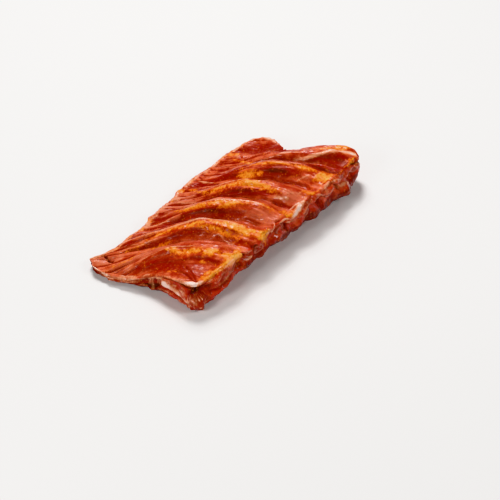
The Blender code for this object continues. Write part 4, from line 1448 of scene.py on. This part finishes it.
# Deep red with painted shade. Where the mask is strongest, in the hollow, the slit, the gaps and the
# clefts, it turns to a nearly black painted shade.
deepest_red_and_shade = ragged("dark_red_and_shade", *DEEP_EDGE)
red_and_shade_colour = blend(tree, eased(tree, mask["dark_red_and_shade"], *HOLLOW_SHADE_RANGE), DEEP_RED_AND_SHADE, PAINTED_HOLLOW_SHADE)
colour = blend(tree, times(tree, deepest_red_and_shade, DEEP_SHARE), colour, red_and_shade_colour)
print("nodes so far:", len(tree.nodes))

# %% Meat: fat, and sinews with painted highlights
FAT_ORANGE = (0.62, 0.105, 0.008, 1.0)
FAT_AMBER = (0.82, 0.29, 0.042, 1.0)
FAT_YELLOW = (0.92, 0.48, 0.110, 1.0)
PALE_SINEW_AND_HIGHLIGHT = (0.78, 0.34, 0.18, 1.0)
WHITE_SINEW_AND_HIGHLIGHT = (0.90, 0.70, 0.60, 1.0)
PALE_AND_HIGHLIGHT_SHARE = 0.85
FAT_COVER = (0.20, 0.70)
AMBER_RANGE = (0.46, 0.98)
YELLOW_RANGE = (0.86, 1.45)
PALE_AND_HIGHLIGHT_COVER = (0.15, 1.00)
WHITE_RANGE = (0.95, 1.50)

fatness = swung(tree, mask["fat"], (spice, 1.8), (mottle, 1.8))
fat_colour = blend(tree, eased(tree, fatness, *AMBER_RANGE), FAT_ORANGE, FAT_AMBER)
fat_colour = blend(tree, eased(tree, fatness, *YELLOW_RANGE), fat_colour, FAT_YELLOW)
colour = blend(tree, eased(tree, fatness, *FAT_COVER), colour, fat_colour)
# The pale layer paints sinews and white fat, and the painted highlights that share their mask.
striped = swung(tree, mask["pale"], (fine_fibre, 1.6), (mottle, 1.0))
pale_and_highlight_cover = times(tree, eased(tree, striped, *PALE_AND_HIGHLIGHT_COVER), PALE_AND_HIGHLIGHT_SHARE)
pale_and_highlight_colour = blend(tree, eased(tree, striped, *WHITE_RANGE), PALE_SINEW_AND_HIGHLIGHT, WHITE_SINEW_AND_HIGHLIGHT)
colour = blend(tree, pale_and_highlight_cover, colour, pale_and_highlight_colour)
print("nodes so far:", len(tree.nodes))

# %% Meat: the wet marinade and the small relief
MARINADE_ON_MEAT = 0.42
GRAINS_ON_MEAT = 0.50
DEEP_SMOOTHER = 0.04
DEEP_DULLER = 0.80
LEAST_OIL = 0.05
OIL_ON_PALE = 0.35
PALE_RANGE = (0.3, 1.0)
OIL_ON_WALLS = 0.25
DROP_NOISE = (340.0, 3.0, 0.6)
DROPS = (0.52, 0.62)
DROP_OIL = 0.40
DROP_OIL_ON_WALLS = 0.30
BUMP = {"Strength": 0.7, "Distance": 0.0004}

thickness = plus(tree, MARINADE_ON_MEAT, (pale_and_highlight_cover, -MARINADE_ON_MEAT))
coated = use(tree, marinade, {"Vector": spot, "Colour": colour, "Thickness": thickness,
                              "Grains": GRAINS_ON_MEAT})
rougher = plus(tree, coated.outputs["Roughness"], (deepest_red_and_shade, -DEEP_SMOOTHER))
drops = eased(tree, cloudy(tree, spot, *DROP_NOISE), *DROPS)
drop_oil = plus(tree, DROP_OIL, (mask["wet"], DROP_OIL_ON_WALLS))
pale_oil = eased(tree, mask["pale"], *PALE_RANGE)
oil = plus(tree, LEAST_OIL, (pale_oil, OIL_ON_PALE), (mask["wet"], OIL_ON_WALLS), (drops, drop_oil))
oil = times(tree, oil, plus(tree, 1.0, (deepest_red_and_shade, -DEEP_DULLER)))
height = plus(tree, coated.outputs["Height"], (fibre, 0.9), (fine_fibre, 0.5), (mottle, 1.0))
connect(tree, shader, {
    "Base Color": coated.outputs["Colour"], "Roughness": rougher, "Coat Weight": oil,
    "Normal": add(tree, "Bump", {"Height": height, **BUMP}).outputs["Normal"],
    "Subsurface Weight": 0.05, "Subsurface Radius": (0.003, 0.0008, 0.0004),
    "Subsurface Scale": 0.5, "Coat Roughness": 0.09, "Specular IOR Level": 0.17,
    "Specular Tint": (1.0, 0.42, 0.26, 1.0)})
print("material:", meat.name, "with", len(tree.nodes), "nodes")

# %% The skin takes its place
skin_mesh.materials.append(meat)
skin_piece = to_scene("meat_skin", skin_mesh)
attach(skin_piece, "root")
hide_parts("rib_meat")
print("size of the skin:", [round(length, 4) for length in skin_piece.dimensions])

# %% [markdown]
# ## The rib bones
# Only the sawn ends show, in the backbone wall: a ring of hard bone round a darker, spongy middle.
# Each bone is one closed surface. It starts at a point in the middle of the sawn face, spreads to
# its rim in rings, runs along the rib and closes at the hidden tip. A flat cap would be simpler,
# but the sunken middle catches the light.

# %% Lines of the bones
BONE_WIDTH = 0.0130
BONE_THICKNESS = 0.0090
BONE_TAPER = 0.70
BONE_COVER = 0.0036
BONE_END_Y = (-0.008, 0.012, 0.020, 0.020, 0.012, -0.012)
BONE_SIDES = 40
ROD_RINGS = 12


def bone_z(x, y):
    """The height of a bone's middle: under the lowest meat over its width."""
    share = np.clip((y - BACKBONE_EDGE[0][1]) / (BELLY_EDGE[0][1] - BACKBONE_EDGE[0][1]), 0, 1)
    reach = 0.5 * BONE_WIDTH * np.array((-1.0, 0.0, 1.0))
    over = top_z(x[:, None] + reach, y[:, None], share[:, None]).min(axis=1)
    return over - BONE_COVER - 0.5 * BONE_THICKNESS


def bone_line(rib):
    """The middle line of a bone: from its sawn face on the wall, under the crest, to its tip."""
    share = np.linspace(0, 1, ROD_RINGS)
    start_y = float(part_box(f"rib_bone_{rib + 1}")[0].y) - CAD_CENTRE[1]
    line_y = start_y + (BONE_END_Y[rib] - start_y) * share
    line_x = crest_x(rib, line_y) - BONE_OFFSET * (1 - share) ** 2
    return np.stack([line_x, line_y, bone_z(line_x, line_y)], -1) + CAD_CENTRE


print("the first bone starts at", bone_line(0)[0].round(4))

# %% Sawn faces and rods
FACE_RINGS = (0.12, 0.30, 0.48, 0.60, 0.68, 0.76, 0.86, 0.95, 1.00)
FACE_PROUD = 0.0007
FACE_UNEVEN_LENGTH = 0.0035
FACE_UNEVEN_SHARE = 0.4
FACE_SEED = 70
SPONGE_DEPTH = 0.0007
SPONGE_END = (0.72, 0.16)
RIM_ROUND = 0.0002
RIM_ROUND_START = (0.86, 0.14)
ROD_BEHIND_FACE = 0.0006

wall_ring = np.concatenate([ring[:CELLS_ALONG] for ring in rings[:WALL_RINGS]])


def wall_y(px, pz):
    """The Y of the finished backbone wall at places given by X and Z: that of the nearest point of
    the skin."""
    wall = skin[wall_ring]
    far = (wall[:, 0] - px[..., None]) ** 2 + (wall[:, 2] - pz[..., None]) ** 2
    return wall[np.argmin(far, axis=-1), 1]


def bone_surface(rib):
    """Rings from the middle of the sawn face out to its rim, then along the rib. Each is an oval
    square to Y. The face lies half way between the wall's own form and its middle depth."""
    line = bone_line(rib)
    turn = 2 * math.pi * np.arange(BONE_SIDES) / BONE_SIDES
    oval = np.stack([0.5 * BONE_WIDTH * np.cos(turn), np.zeros(BONE_SIDES),
                     0.5 * BONE_THICKNESS * np.sin(turn)], -1)
    size = 1 - (1 - BONE_TAPER) * np.linspace(0, 1, ROD_RINGS)
    rod = line[:, None] + size[:, None, None] * oval
    spread = np.array(FACE_RINGS)[:, None]
    face = line[0] + spread[..., None] * oval
    uneven_face = lumps(face[..., 0], face[..., 2], FACE_UNEVEN_LENGTH, FACE_SEED + rib)
    face[..., 1] = wall_y(face[..., 0], face[..., 2])
    middle = float(np.median(face[..., 1]))
    sunk = SPONGE_DEPTH * before(spread, *SPONGE_END) * (1 + FACE_UNEVEN_SHARE * uneven_face)
    round_rim = RIM_ROUND * past(spread, *RIM_ROUND_START)
    face[..., 1] = 0.5 * (face[..., 1] + middle) - FACE_PROUD + sunk + round_rim
    rod[0, :, 1] = face[-1, :, 1] + ROD_BEHIND_FACE
    return np.concatenate([face, rod])


print("rings of one bone:", len(bone_surface(0)))

# %% Bones
def closed_rings(name, loops):
    """A closed mesh through rings of equal length, with a fan of triangles to a point at each
    end."""
    count, sides = loops.shape[:2]
    points = np.concatenate([loops.reshape(-1, 3), loops[0].mean(0)[None], loops[-1].mean(0)[None]])
    index = np.arange(count * sides).reshape(count, sides)
    after = np.roll(index, -1, axis=1)
    quads = np.stack([index[:-1], after[:-1], after[1:], index[1:]], -1).reshape(-1, 4)
    first, last = count * sides, count * sides + 1
    first_fan = [(first, b, a) for a, b in zip(index[0], after[0])]
    last_fan = [(last, a, b) for a, b in zip(index[-1], after[-1])]
    mesh = bpy.data.meshes.new(name)
    mesh.from_pydata(points, [], quads.tolist() + first_fan + last_fan)
    mesh.polygons.foreach_set("use_smooth", [True] * len(mesh.polygons))
    return mesh


bone_meshes = [closed_rings(f"bone_{rib + 1}", bone_surface(rib)) for rib in range(RIBS)]
print("bones:", [len(mesh.polygons) for mesh in bone_meshes], "faces")

# %% Material of the bones
BONE_PALE = (0.42, 0.085, 0.045, 1.0)
SPONGE = (0.34, 0.050, 0.022, 1.0)
MARINADE_ON_BONE = 0.55
GRAINS_ON_BONE = 0.5
HOLE_SCALE = 900.0
HOLES = (0.65, 0.25)
SPONGE_DARKER = 0.4
HOLES_DARKER = 0.6
BONE_BUMP = {"Strength": 0.5, "Distance": 0.0003}

bone, tree, shader = new_material("sawn_bone")
spot = add(tree, "TexCoord").outputs["Object"]
sponge = add(tree, "Attribute", attribute_name="sponge").outputs["Fac"]
holes = add(tree, "TexVoronoi", {"Vector": spot, "Scale": HOLE_SCALE}).outputs["Distance"]
spongy = times(tree, sponge, eased(tree, holes, *HOLES))
darker = plus(tree, times(tree, sponge, SPONGE_DARKER), (spongy, HOLES_DARKER))
coated = use(tree, marinade, {"Vector": spot, "Colour": blend(tree, darker, BONE_PALE, SPONGE),
                              "Thickness": MARINADE_ON_BONE, "Grains": GRAINS_ON_BONE})
pitted = arithmetic(tree, "SUBTRACT", coated.outputs["Height"], spongy)
connect(tree, shader, {
    "Base Color": coated.outputs["Colour"], "Roughness": coated.outputs["Roughness"],
    "Normal": add(tree, "Bump", {"Height": pitted, **BONE_BUMP}).outputs["Normal"],
    "Coat Weight": 0.22, "Coat Roughness": 0.08})
print("material:", bone.name, "with", len(tree.nodes), "nodes")

# %% The bones take their places
SPONGE_EDGE = (0.74, 0.10)

ring_shares = np.append(np.array(FACE_RINGS), np.ones(ROD_RINGS))
sponge_share = np.repeat(before(ring_shares, *SPONGE_EDGE), BONE_SIDES)
for rib, mesh in enumerate(bone_meshes):
    store(mesh, "sponge", np.append(sponge_share, (1.0, 0.0)))
    mesh.materials.append(bone)
    piece = to_scene(mesh.name, mesh)
    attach(piece, "root")
    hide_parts(f"rib_bone_{rib + 1}")
print("bones placed:", len(bone_meshes))

# %% [markdown]
# ## Floor and light
# A plain pale floor and soft studio light: the main soft box above and behind, as in the
# photograph, a weaker one to the left and one in front, and a faint warm surround. Soft boxes give
# a wet surface long quiet highlights. Small lamps would be brighter for their size, but each would
# leave a hard sparkle on every drop.

# %% Floor
FLOOR_DROP = 0.0003
FLOOR_REACH = 3
FLOOR_CORNERS = ((-1, -1), (1, -1), (1, 1), (-1, 1))
FLOOR_FINISH = {"Base Color": (0.80, 0.79, 0.78, 1.0), "Roughness": 0.8}

floor_mesh = bpy.data.meshes.new("floor")
floor_mesh.from_pydata([(FLOOR_REACH * a, FLOOR_REACH * b, -FLOOR_DROP) for a, b in FLOOR_CORNERS],
                       [], [(0, 1, 2, 3)])
floor_material, tree, shader = new_material("pale_floor")
connect(tree, shader, FLOOR_FINISH)
floor_mesh.materials.append(floor_material)
floor = to_scene("floor", floor_mesh)
print("the floor lies", FLOOR_DROP * 1000, "mm below the rack")

# %% Light
SURROUND = {"Color": (1.0, 0.95, 0.90, 1.0), "Strength": 0.09}
LIGHTS_LOOK_AT = Vector((0, 0, 0.02))

world = bpy.data.worlds.new("studio")
bpy.context.scene.world = world
world.use_nodes = True
connect(world.node_tree, world.node_tree.nodes["Background"], SURROUND)


def soft_box(name, where, size, power):
    """A square area light, turned to the rack: its place and size in metres and its power in
    watts."""
    light = bpy.data.lights.new(name, "AREA")
    light.size, light.energy = size, power
    lamp = to_scene(name, light)
    lamp.location = where
    lamp.rotation_euler = (LIGHTS_LOOK_AT - Vector(where)).to_track_quat("-Z", "Y").to_euler()


soft_box("soft_box_behind", (0.45, 0.55, 1.00), 0.50, 18.3)
soft_box("soft_box_left", (-1.00, 0.00, 0.65), 0.35, 6.5)
soft_box("soft_box_in_front", (0.30, -1.05, 0.85), 0.35, 7.0)
bpy.context.scene.view_settings.view_transform = "Khronos PBR Neutral"
